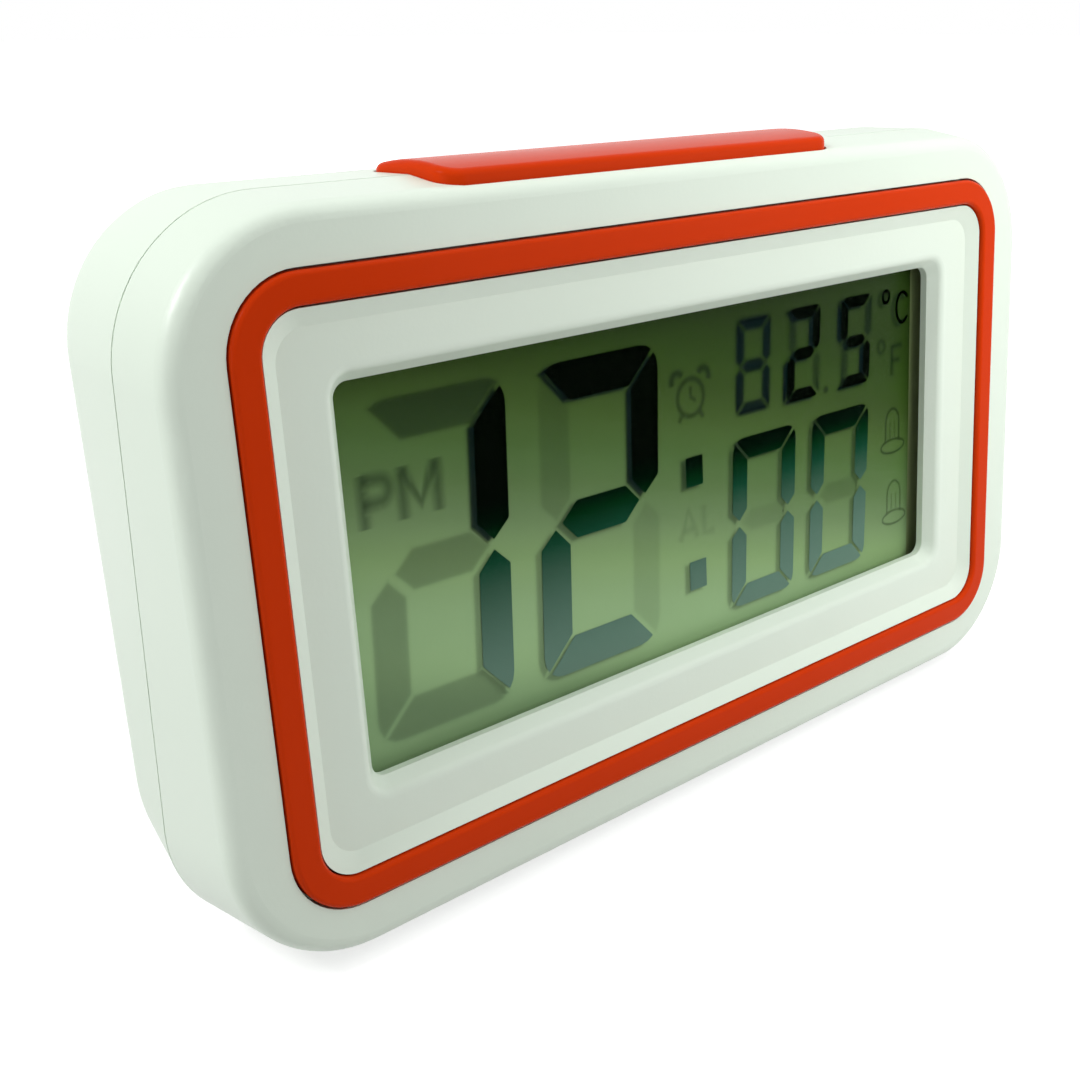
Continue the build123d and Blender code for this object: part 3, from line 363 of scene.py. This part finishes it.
def graded(nodes, links, height, stops, interpolation):
    """Colours that follow the height on the glass."""
    node = nodes.new("ShaderNodeValToRGB")
    node.color_ramp.interpolation = interpolation
    elements = node.color_ramp.elements
    while len(elements) < len(stops):
        elements.new(0.5)
    for element, (stop, colour) in zip(elements, stops):
        element.position = (stop - glass_low) / (glass_high - glass_low)
        element.color = colour
    links.new(ranged(nodes, links, height, glass_low, glass_high), node.inputs["Fac"])
    return node.outputs["Color"]


display_glass, nodes, links, shader = new_material("display_glass")
film = graded(nodes, links, height_on_glass(nodes, links, painted_shade_slant), shaded_glass_stops, "CARDINAL")
past_film = math_node(nodes, links, "GREATER_THAN", along_x(nodes, links), film_end)
links.new(mixed(nodes, links, past_film, film, bare_glass), shader.inputs["Base Color"])
shader.inputs["Roughness"].default_value = glass_roughness
shader.inputs["Specular IOR Level"].default_value = glass_shine
dress(display_glass, "lcd_panel")


# Digits and marks of the display. They are etched electrodes inside the glass: the lit strokes are
# dark, the others show as faint shades, and the soft shade each lit one throws on the foil behind
# is painted as a dark layer in front of the glass.
# Their sizes are in millimetres, from the middle of the window.
lean = math.radians(5)
lens_low, lens_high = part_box("display_lens")
lens_middle = (Vector(lens_low) + Vector(lens_high)) / 2
glass_up = Vector((0, math.sin(lean), math.cos(lean)))
glass_in = Vector((0, math.cos(lean), -math.sin(lean)))
glass_front = 0.7  # display glass behind the middle of the window plate
stroke_lift, shade_lift = 0.06, 0.03
digit_slant = math.tan(math.radians(2.6))
end_cut = 0.7  # cut of a stroke's slanted end, as a share of the gap
# Points of the strokes' ends, as shares of the stroke's width
waist_outside, waist_inside = 0.45, 0.5
middle_tip, middle_shoulder = 0.73, 1.25
least_spread = 0.5  # keeps a grown outline from running out at a sharp corner


def on_glass(x, rise, lift):
    """Point in front of the display glass, from millimetres."""
    step = Vector((1, 0, 0)) * x + glass_up * rise + glass_in * (glass_front - lift)
    return lens_middle + step * mm


def seven_strokes(width, height, stroke, gap, corner, waist):
    """Outlines of the seven strokes of a digit, a to g in the usual order."""
    half, top, cut = width / 2, height / 2, gap * end_cut
    last = 45 - math.degrees(gap / 2 / corner)
    angles = [math.radians(angle) for angle in (0, last / 2, last)]
    arc = [(corner * (1 - math.sin(turn)), corner * (1 - math.cos(turn))) for turn in angles]
    flat = [(-half + x, top - y) for x, y in reversed(arc)]
    flat += [(-x, y) for x, y in reversed(flat)]
    flat += [(half - stroke - cut, top - stroke), (stroke + cut - half, top - stroke)]
    upright = [(-half + y, top - x) for x, y in reversed(arc)]
    upright += [
        (-half, stroke * waist_outside + waist / 2),
        (stroke * 0.5 - half, waist / 2),
        (stroke - half, stroke * waist_inside + waist / 2),
        (stroke - half, top - stroke - cut),
    ]
    tip, shoulder = half - middle_tip * stroke, half - middle_shoulder * stroke
    middle = [
        (-tip, 0), (-shoulder, stroke / 2), (shoulder, stroke / 2),
        (tip, 0), (shoulder, -stroke / 2), (-shoulder, -stroke / 2),
    ]

    def flip(points, sign_x, sign_y):
        turned = [(sign_x * x, sign_y * y) for x, y in points]
        return turned if sign_x * sign_y > 0 else turned[::-1]

    strokes = {
        "a": flat, "b": flip(upright, -1, 1), "c": flip(upright, -1, -1), "d": flip(flat, 1, -1),
        "e": flip(upright, 1, -1), "f": upright, "g": middle,
    }
    return {
        name: [(x + digit_slant * y, y) for x, y in points] for name, points in strokes.items()
    }


def grown(points, amount):
    """Outline moved outwards by an amount."""
    pairs = [(points[index - 1], points[index]) for index in range(len(points))]
    turn = sum(before[0] * here[1] - here[0] * before[1] for before, here in pairs)
    amount = -amount if turn > 0 else amount
    result = []
    for index, point in enumerate(points):
        before = Vector(points[index - 1])
        here = Vector(point)
        after = Vector(points[(index + 1) % len(points)])
        first, second = (here - before).normalized(), (after - here).normalized()
        out = Vector((-first.y - second.y, first.x + second.x)).normalized()
        spread = max(least_spread, out.dot(Vector((-first.y, first.x))))
        result.append(tuple(here + out * amount / spread))
    return result


def shifted(points, right, up):
    """Outline moved on the glass."""
    return [(x + right, y + up) for x, y in points]


class Layer:
    """Flat mesh in front of the glass, with the strength of its shade at each point."""

    def __init__(self, lift):
        self.lift = lift
        self.points, self.faces, self.strengths = [], [], []

    def add(self, outline, strengths):
        """Puts points on the layer and gives their numbers."""
        start = len(self.points)
        self.points += [on_glass(x, y, self.lift) for x, y in outline]
        self.strengths += strengths
        return list(range(start, start + len(outline)))

    def solid(self, outline):
        """Outline of full strength with a sharp edge."""
        self.faces.append(self.add(outline, [1.0] * len(outline)))

    def soft(self, outline, blur, strength):
        """Outline whose edge fades out over twice the blur."""
        fading = ((-1, 1.0), (-0.3, 0.82), (0.3, 0.18), (1, 0.0))
        rings = [
            self.add(grown(outline, blur * step), [strength * share] * len(outline))
            for step, share in fading
        ]
        self.faces.append(rings[0])
        for inner, outer in zip(rings, rings[1:]):
            for index in range(len(outline)):
                after = (index + 1) % len(outline)
                self.faces.append([outer[index], outer[after], inner[after], inner[index]])

    def line(self, points, width, strength=1.0, fade=0.0, closed=False):
        """Band along points; its sides fade out over twice the fade."""
        half = width / 2
        steps = [(-half, strength), (half, strength)]
        if fade:
            steps = [
                (-half - fade, 0.0), (-half + fade, strength),
                (half - fade, strength), (half + fade, 0.0),
            ]
        rows = []
        for index, point in enumerate(points):
            here = Vector(point)
            before = Vector(points[index - 1]) if closed or index else here
            open_end = not closed and index == len(points) - 1
            after = here if open_end else Vector(points[(index + 1) % len(points)])
            way = (after - before).normalized()
            side = Vector((-way.y, way.x))
            across = [tuple(here + side * step) for step, _ in steps]
            rows.append(self.add(across, [share for _, share in steps]))
        pairs = list(zip(rows, rows[1:])) + ([(rows[-1], rows[0])] if closed else [])
        for row, following in pairs:
            for index in range(len(row) - 1):
                self.faces.append(
                    [row[index], row[index + 1], following[index + 1], following[index]]
                )

    def piece(self, name, material):
        """Object made of the layer, with its faces to the front."""
        mesh = bpy.data.meshes.new(name)
        mesh.from_pydata(self.points, [], self.faces)
        for polygon in mesh.polygons:
            if polygon.normal.y > 0:
                polygon.flip()
        mesh.update()
        shade = mesh.color_attributes.new("shade", "FLOAT_COLOR", "POINT")
        for entry, strength in zip(shade.data, self.strengths):
            entry.color = (strength, strength, strength, 1.0)
        mesh.materials.append(material)
        piece = bpy.data.objects.new(name, mesh)
        bpy.context.collection.objects.link(piece)
        return piece


def arc_points(x, y, radius_x, radius_y, start, end, count):
    """Points on part of an ellipse, with angles in degrees."""
    angles = [math.radians(start + (end - start) * index / count) for index in range(count + 1)]
    return [(x + radius_x * math.cos(angle), y + radius_y * math.sin(angle)) for angle in angles]


lit = Layer(stroke_lift)
shade = Layer(shade_lift)
# offset, blur and strength of the painted shades that the lit strokes throw
cast_right, cast_up, cast_blur = -0.85, -0.25, 0.45
faint_right = 0.15
cast_weakest, cast_strongest = 0.26, 0.8
cast_start, cast_gain = -3.0, 0.05  # height from which the shades deepen, and gain per millimetre
big = {"width": 18.1, "height": 35.2, "stroke": 4.25, "gap": 0.5, "corner": 2.9, "waist": 1.1}
small = {"width": 11.9, "height": 21.4, "stroke": 2.65, "gap": 0.4, "corner": 1.8, "waist": 0.75}
tiny = {"width": 6.3, "height": 11.6, "stroke": 1.45, "gap": 0.25, "corner": 1.0, "waist": 0.45}
digits = (
    # x, rise, form, lit strokes, faint strokes with the strength of each
    (-34.6, -0.6, big, "bc", {"a": 0.38, "g": 0.22, "d": 0.22, "e": 0.22}),
    (-12.1, -0.6, big, "abged", {"f": 0.13, "c": 0.09}),
    (15.6, -7.6, small, "abcdef", {"g": 0.08}),
    (30.8, -7.6, small, "abcdef", {"g": 0.12}),
    (13.9, 11.7, tiny, "", dict.fromkeys("abcdefg", 0.78)),
    (23.7, 11.7, tiny, "abged", {"f": 0.35, "c": 0.3}),
    (34.3, 11.7, tiny, "afgcd", {"b": 0.4, "e": 0.35}),
)


def light_up(outline, rise):
    """Lit stroke and the painted shade that it throws, which is deeper near the dark top of the
    glass.
    """
    lit.solid(outline)
    strength = cast_weakest + cast_gain * max(0.0, rise - cast_start)
    shade.soft(
        shifted(outline, cast_right, cast_up), cast_blur, min(cast_strongest, strength)
    )


for x, rise, form, lit_names, faint in digits:
    strokes = seven_strokes(**form)
    for name in lit_names:
        outline = shifted(strokes[name], x, rise)
        light_up(outline, sum(y for _, y in outline) / len(outline))
    for name, strength in faint.items():
        shade.soft(shifted(strokes[name], x + faint_right, rise), cast_blur, strength)

# Colon and decimal point
dot_width, dot_height = 2.9, 3.6
dot = [(-0.5, 0.5), (0.5, 0.5), (0.5, -0.5), (-0.5, -0.5)]
for x, rise in ((3.15, 0.8), (3.3, -12.1)):
    light_up([(x + dot_width * px, rise + dot_height * py) for px, py in dot], rise)
shade.soft(arc_points(28.1, 6.3, 0.5, 0.5, 360, 36, 9), 0.25, 0.35)

# Degree signs, C and F; the signs for degrees C are lit
sign_line, sign_cast = 0.5, {"width": 0.6, "strength": 0.3, "fade": 0.25}
degree = arc_points(40.8, 16.5, 0.7, 0.8, 0, 345, 23)
letter_c = arc_points(44.5, 14.7, 1.35, 2.0, 38, 322, 24)
for points, closed in ((degree, True), (letter_c, False)):
    lit.line(points, sign_line, closed=closed)
    shade.line(shifted(points, cast_right, cast_up), closed=closed, **sign_cast)
faint_degree = arc_points(39.9, 10.0, 0.7, 0.8, 0, 345, 23)
shade.line(faint_degree, width=0.5, strength=0.28, fade=0.2, closed=True)
for points in (((42.3, 5.7), (42.3, 9.9)), ((42.3, 9.7), (44.6, 9.7)), ((42.3, 7.8), (44.1, 7.8))):
    shade.line(points, **sign_cast)

# PM and AL
letters_pm = (
    ((-43.3, 4.7), (-43.3, 10.1)), ((-43.3, 9.5), (-41.4, 9.5)), ((-43.3, 7.1), (-41.4, 7.1)),
    ((-38.6, 4.7), (-38.6, 10.1)), ((-34.3, 4.7), (-34.3, 10.1)),
    ((-38.4, 9.8), (-36.4, 6.0), (-34.5, 9.8)), arc_points(-41.4, 8.3, 1.2, 1.2, 90, -90, 12),
)
letters_al = (
    ((0.4, -7.4), (1.9, -3.7), (3.4, -7.4)), ((1.0, -6.2), (2.8, -6.2)),
    ((4.6, -3.7), (4.6, -7.2), (6.4, -7.2)),
)
for points in letters_pm:
    shade.line(points, width=1.15, strength=0.3, fade=0.5)
for points in letters_al:
    shade.line(points, width=0.8, strength=0.09, fade=0.35)

# Alarm clock with its hands, two bells and two feet
clock_x, clock_rise, clock_radius = 2.9, 9.7, 2.2
clock_line = {"width": 0.55, "strength": 0.34, "fade": 0.25}
clock_ring = arc_points(clock_x, clock_rise, clock_radius, clock_radius, 0, 350, 35)
clock_hands = shifted(((0, 1.3), (0, 0), (0.9, -0.5)), clock_x, clock_rise)
shade.line(clock_ring, closed=True, **clock_line)
shade.line(clock_hands, width=0.45, strength=0.3, fade=0.2)
for side in (-1, 1):
    bell_x, bell_rise = clock_x + side * clock_radius, clock_rise + clock_radius
    bell = arc_points(bell_x, bell_rise, 0.95, 0.95, 90 - side * 120, 90 + side * 60, 10)
    shade.line(bell, width=0.75, strength=0.4, fade=0.3)
    foot = shifted(((side * 1.5, -1.8), (side * 2.1, -2.7)), clock_x, clock_rise)
    shade.line(foot, **clock_line)

# Two bells, each a dome with its mouth below and two strokes inside
bell_half, dome_rise, dome_height = 1.5, 1.2, 1.9
bell_line, bell_fade = 0.28, 0.14
for x, rise, strength in ((42.6, -1.9, 0.42), (43.1, -12.1, 0.34)):
    dome = arc_points(0, dome_rise, bell_half, dome_height, 180, 0, 14)
    body = [(-bell_half, -1.6)] + dome + [(bell_half, -1.6)]
    mouth = arc_points(x + 0.1, rise - 2.1, 2.6, 0.95, 0, 350, 35)
    shade.line(shifted(body, x, rise), bell_line, strength, bell_fade)
    shade.line(mouth, bell_line, strength, bell_fade, closed=True)
    for side in (-0.5, 0.5):
        shade.line(shifted(((side, -0.9), (side, 1.3)), x, rise), 0.3, strength * 0.5, bell_fade)

# Painted shading of the lit strokes: black at the top and lighter towards the bottom, their look
# from above left.
shaded_stroke_stops = (
    # height, colour
    (18.0, srgb(110, 140, 124)), (21.5, srgb(102, 134, 118)), (25.0, srgb(92, 124, 108)),
    (29.5, srgb(72, 106, 88)), (34.5, srgb(18, 68, 46)), (37.0, srgb(1, 42, 14)),
    (38.6, srgb(0, 14, 3)), (41.0, srgb(0, 2, 0)),
)
stroke_roughness, shade_roughness = 0.5, 0.6
lit_material, nodes, links, shader = new_material("lit_stroke")
stroke_colour = graded(nodes, links, height_on_glass(nodes, links, 0.0), shaded_stroke_stops, "LINEAR")
links.new(stroke_colour, shader.inputs["Base Color"])
shader.inputs["Roughness"].default_value = stroke_roughness
shader.inputs["Specular IOR Level"].default_value = 0.0

shade_material, nodes, links, shader = new_material("faint_shade")
strength = nodes.new("ShaderNodeVertexColor")
strength.layer_name = "shade"
shader.inputs["Base Color"].default_value = srgb(8, 26, 30)
shader.inputs["Roughness"].default_value = shade_roughness
shader.inputs["Specular IOR Level"].default_value = 0.0
links.new(strength.outputs["Color"], shader.inputs["Alpha"])
strokes = lit.piece("display_strokes", lit_material)
shades = shade.piece("display_shades", shade_material)
for piece in (strokes, shades):
    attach(piece, "case")


# Hidden parts of the display. A foil lies behind the glass, a moulded frame clamps both, and a
# strip of contact rubber joins the glass to the main board.
foil = moulded("foil", colour=(196, 198, 188), cloud=(180, 184, 172), gloss=(0.2, 0.35))
holder_plastic = moulded(
    "holder_plastic", colour=(222, 226, 222), cloud=(212, 216, 212), gloss=(0.45, 0.6)
)
contact_rubber = moulded(
    "contact_rubber", colour=(40, 40, 42), cloud=(30, 30, 32), gloss=(0.6, 0.8)
)
dress(foil, "lcd_reflector")
dress(holder_plastic, "lcd_holder")
dress(contact_rubber, "zebra_strip")


# Main board and button board. Glass-fibre sheets under green lacquer, through which the copper
# tracks show. Screws hold them to posts in the case.
track_pitch = 4 * mm
track_width = 0.07  # share of the pitch
track_colour = srgb(60, 140, 74)
board = moulded(
    "board_lacquer", colour=(28, 96, 52), cloud=(18, 74, 40), gloss=(0.3, 0.45), cloud_size=6 * mm
)
nodes, links = board.node_tree.nodes, board.node_tree.links
track_place = nodes.new("ShaderNodeTexCoord")
track_turn = nodes.new("ShaderNodeMapping")
track_turn.inputs["Rotation"].default_value = (math.pi / 2, 0, 0)
links.new(track_place.outputs["Object"], track_turn.inputs["Vector"])
tracks = nodes.new("ShaderNodeTexBrick")
tracks.inputs["Scale"].default_value = 1 / track_pitch
tracks.inputs["Mortar Size"].default_value = track_width
for name, colour in (("Color1", (0, 0, 0, 1)), ("Color2", (0, 0, 0, 1)), ("Mortar", white)):
    tracks.inputs[name].default_value = colour
links.new(track_turn.outputs["Vector"], tracks.inputs["Vector"])
lacquer = nodes["Group"].outputs["Color"]
tint = mixed(nodes, links, tracks.outputs["Color"], lacquer, track_colour)
links.new(tint, nodes["Principled BSDF"].inputs["Base Color"])
dress(board, "main_board", "button_board")


# Small electric parts, soldered to the boards. The chips and the sensor are sealed in black resin,
# the switches are black plastic, and the wires and the flat cable have a plastic cover.
resin = moulded("black_resin", colour=(22, 22, 22), cloud=(12, 12, 12), gloss=(0.2, 0.35))
switch_plastic = moulded(
    "switch_plastic", colour=(34, 34, 36), cloud=(24, 24, 26), gloss=(0.45, 0.6)
)
flat_cable = moulded(
    "flat_cable", colour=(170, 170, 170), cloud=(150, 150, 150), gloss=(0.4, 0.5)
)
wire_plastic = moulded(
    "wire_plastic", colour=(170, 26, 22), cloud=(150, 20, 18), gloss=(0.3, 0.4)
)
dress(resin, "controller_blobs", "temperature_sensor")
dress(switch_plastic, "talk_switch", "setting_switches", "alarm_switch_body")
dress(flat_cable, "ribbon_cable")
dress(wire_plastic, "speaker_wires", "battery_wires")


# Battery contacts, crystal and capacitors. The contacts are bent from nickel-plated spring steel
# and slide into slots of the tray. The others are drawn cans, soldered to the main board.
def metal(name, colour, cloud, gloss):
    """Metal with uneven gloss."""
    material = moulded(
        name, colour, cloud, gloss,
        cloud_size=8 * mm, grain_size=0.2 * mm, grain_depth=0.003 * mm,
    )
    material.node_tree.nodes["Principled BSDF"].inputs["Metallic"].default_value = 1.0
    return material


nickel = metal("nickel_plate", colour=(214, 210, 200), cloud=(196, 190, 178), gloss=(0.15, 0.3))
can_metal = metal("can_metal", colour=(204, 204, 206), cloud=(186, 186, 190), gloss=(0.2, 0.35))
dress(nickel, "contact_positive", "contact_negative", "contact_bridge")
dress(can_metal, "crystal", "capacitors")


# Screws. Zinc-plated self-tapping screws with pan heads and cross slots: four draw the rear cover
# to the front case, and smaller ones hold the two boards. All come from one tree of nodes.
screw_steel = metal(
    "zinc_plated_steel", colour=(190, 192, 196), cloud=(170, 172, 178), gloss=(0.25, 0.45)
)
case_screw = {
    "Head Radius": 2.6, "Head Height": 1.7, "Shank Radius": 1.25, "Length": 7.5, "Slot Width": 0.8,
}
board_screw = {
    "Head Radius": 1.8, "Head Height": 1.3, "Shank Radius": 0.9, "Length": 5.5, "Slot Width": 0.5,
}
head_sides = 32
head_crown = 0.45  # share of the head's height that is rounded off
crown_top = 0.72  # radius of the head's flat top, as a share of its radius
shank_tip = 0.6  # radius of the shank's end, as a share of its radius
slot_length = 1.15  # share of the head's radius
slot_depth = 0.55  # share of the head's height
same_point = 0.001 * mm


def screw_tree():
    """Node tree that puts a cross-head screw at each point of its mesh."""
    tree = bpy.data.node_groups.new("cross_head_screw", "GeometryNodeTree")
    kinds = {"Places": "NodeSocketGeometry"}
    kinds |= dict.fromkeys(case_screw, "NodeSocketFloat")
    kinds |= {"Turn": "NodeSocketVector", "Finish": "NodeSocketMaterial"}
    for name, kind in kinds.items():
        tree.interface.new_socket(name=name, in_out="INPUT", socket_type=kind)
    tree.interface.new_socket(name="Screws", in_out="OUTPUT", socket_type="NodeSocketGeometry")
    nodes, links = tree.nodes, tree.links
    given = nodes.new("NodeGroupInput").outputs
    result = nodes.new("NodeGroupOutput").inputs

    def scaled(value, share):
        return math_node(nodes, links, "MULTIPLY", value, share)

    def vector(x=0.0, y=0.0, z=0.0):
        node = nodes.new("ShaderNodeCombineXYZ")
        for socket, value in zip(node.inputs, (x, y, z)):
            feed(links, socket, value)
        return node.outputs[0]

    def moved(geometry, offset, turn=0.0):
        node = nodes.new("GeometryNodeTransform")
        node.inputs["Rotation"].default_value = (0, 0, turn)
        links.new(geometry, node.inputs["Geometry"])
        links.new(offset, node.inputs["Translation"])
        return node.outputs["Geometry"]

    def drum(low_radius, high_radius, height, offset):
        node = nodes.new("GeometryNodeMeshCone")
        node.inputs["Vertices"].default_value = head_sides
        links.new(low_radius, node.inputs["Radius Bottom"])
        links.new(high_radius, node.inputs["Radius Top"])
        links.new(height, node.inputs["Depth"])
        return moved(node.outputs["Mesh"], vector(z=offset))

    radius, height, length = given["Head Radius"], given["Head Height"], given["Length"]
    shank_radius, neck_height = given["Shank Radius"], scaled(height, 1 - head_crown)
    drums = (
        drum(radius, radius, neck_height, scaled(height, 0.0)),
        drum(radius, scaled(radius, crown_top), scaled(height, head_crown), neck_height),
        drum(scaled(shank_radius, shank_tip), shank_radius, length, scaled(length, -1.0)),
    )
    body = nodes.new("GeometryNodeMeshBoolean")
    body.operation = "UNION"
    for piece in drums:
        links.new(piece, body.inputs["Mesh 2"])
    screw = nodes.new("GeometryNodeMeshBoolean")
    screw.operation = "DIFFERENCE"
    links.new(body.outputs["Mesh"], screw.inputs["Mesh 1"])
    slot_size = vector(
        scaled(radius, slot_length), given["Slot Width"], scaled(height, 2 * slot_depth)
    )
    for turn in (0.0, math.pi / 2):
        slot = nodes.new("GeometryNodeMeshCube")
        links.new(slot_size, slot.inputs["Size"])
        cutter = moved(slot.outputs["Mesh"], vector(z=height), turn)
        links.new(cutter, screw.inputs["Mesh 2"])
    turn = nodes.new("FunctionNodeEulerToRotation")
    links.new(given["Turn"], turn.inputs["Euler"])
    copies = nodes.new("GeometryNodeInstanceOnPoints")
    links.new(given["Places"], copies.inputs["Points"])
    links.new(screw.outputs["Mesh"], copies.inputs["Instance"])
    links.new(turn.outputs["Rotation"], copies.inputs["Rotation"])
    real = nodes.new("GeometryNodeRealizeInstances")
    links.new(copies.outputs["Instances"], real.inputs["Geometry"])
    finish = nodes.new("GeometryNodeSetMaterial")
    links.new(real.outputs["Geometry"], finish.inputs["Geometry"])
    links.new(given["Finish"], finish.inputs["Material"])
    links.new(finish.outputs["Geometry"], result["Screws"])
    return tree


def solid_middles(node):
    """Middle of each separate solid of a CAD piece."""
    mesh = bmesh.new()
    mesh.from_mesh(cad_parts[node].data)
    bmesh.ops.remove_doubles(mesh, verts=mesh.verts, dist=same_point)
    left = set(mesh.verts)
    middles = []
    while left:
        reached = [left.pop()]
        for vertex in reached:
            for edge in vertex.link_edges:
                other = edge.other_vert(vertex)
                if other in left:
                    left.discard(other)
                    reached.append(other)
        low = Vector([min(vertex.co[axis] for vertex in reached) for axis in range(3)])
        high = Vector([max(vertex.co[axis] for vertex in reached) for axis in range(3)])
        middles.append((low + high) / 2)
    mesh.free()
    return sorted(middles, key=tuple)


cross_head_screw = screw_tree()
inputs = {
    item.name: item.identifier
    for item in cross_head_screw.interface.items_tree if item.in_out == "INPUT"
}
for node, form, turn in (
    ("case_screws", case_screw, -math.pi / 2),
    ("board_screws", board_screw, -math.pi / 2 - lean),
    ("button_board_screws", board_screw, math.pi / 2),
):
    head_way = Matrix.Rotation(turn, 3, "X") @ Vector((0, 0, 1))
    neck = head_way * (form["Length"] - form["Head Height"]) / 2 * mm
    mesh = bpy.data.meshes.new(node + "_places")
    mesh.from_pydata([middle + neck for middle in solid_middles(node)], [], [])
    holder = bpy.data.objects.new(node + "_places", mesh)
    bpy.context.collection.objects.link(holder)
    modifier = holder.modifiers.new("screws", "NODES")
    modifier.node_group = cross_head_screw
    for name, size in form.items():
        modifier[inputs[name]] = size * mm
    modifier[inputs["Turn"]] = (turn, 0, 0)
    modifier[inputs["Finish"]] = screw_steel
    evaluated = holder.evaluated_get(bpy.context.evaluated_depsgraph_get())
    screws = bpy.data.objects.new(node + "_detailed", bpy.data.meshes.new_from_object(evaluated))
    bpy.data.objects.remove(holder)
    bpy.context.collection.objects.link(screws)
    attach(screws, "case")
    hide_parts(node)


# Speaker. A pressed steel basket with a ferrite magnet glued behind it and a cone of black paper
# in front. It sits behind the holes of the rear cover.
basket = moulded("basket_paint", colour=(86, 86, 88), cloud=(70, 70, 72), gloss=(0.4, 0.55))
ferrite = moulded("ferrite", colour=(58, 58, 60), cloud=(44, 44, 46), gloss=(0.6, 0.75))
cone_paper = moulded(
    "cone_paper", colour=(34, 34, 34), cloud=(22, 22, 22), gloss=(0.8, 0.95),
    grain_depth=0.05 * mm,
)
dress(basket, "speaker_frame")
dress(ferrite, "speaker_magnet")
dress(cone_paper, "speaker_cone")


# Cells. Steel cans in printed jackets: a dark green sleeve with a copper band at the plus end, open
# at the rims, where the bare can shows. They lie head to tail in the tray.
cell_rim, cell_band, cell_nub = 0.8 * mm, 11 * mm, 1 * mm
sleeve_green, band_copper, can_steel = srgb(28, 62, 44), srgb(186, 124, 66), srgb(196, 198, 200)
scuff_size, scuff_depth = 3 * mm, 0.01 * mm
scuff_low, scuff_high = -0.6, 2.2  # values of the scuffing at which the jacket is glossy and dull


def cell_finish(node, plus_side):
    """Printed jacket of one cell; its plus end looks along X to the given side."""
    low, high = (corner[0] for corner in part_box(node))
    low += cell_rim + (cell_nub if plus_side < 0 else 0)
    high -= cell_rim + (cell_nub if plus_side > 0 else 0)
    material, nodes, links, shader = new_material(node + "_jacket")
    x = along_x(nodes, links)

    def between(start, end):
        middle, half = (start + end) / 2, (end - start) / 2
        return math_node(nodes, links, "COMPARE", x, middle, half)

    band = between(high - cell_band, high) if plus_side > 0 else between(low, low + cell_band)
    sleeve = between(low, high)
    printed = mixed(nodes, links, band, sleeve_green, band_copper)
    links.new(mixed(nodes, links, sleeve, can_steel, printed), shader.inputs["Base Color"])
    links.new(math_node(nodes, links, "SUBTRACT", 1.0, sleeve), shader.inputs["Metallic"])
    scuff = noise(nodes, links, 1 / scuff_size)
    dull = ranged(nodes, links, scuff, scuff_low, scuff_high)
    links.new(dull, shader.inputs["Roughness"])
    add_grain(nodes, links, shader, scuff, scuff_depth)
    return material


dress(cell_finish("cell_low", -1), "cell_low")
dress(cell_finish("cell_high", 1), "cell_high")


# Plain view of the colours.
bpy.context.scene.view_settings.view_transform = "Standard"
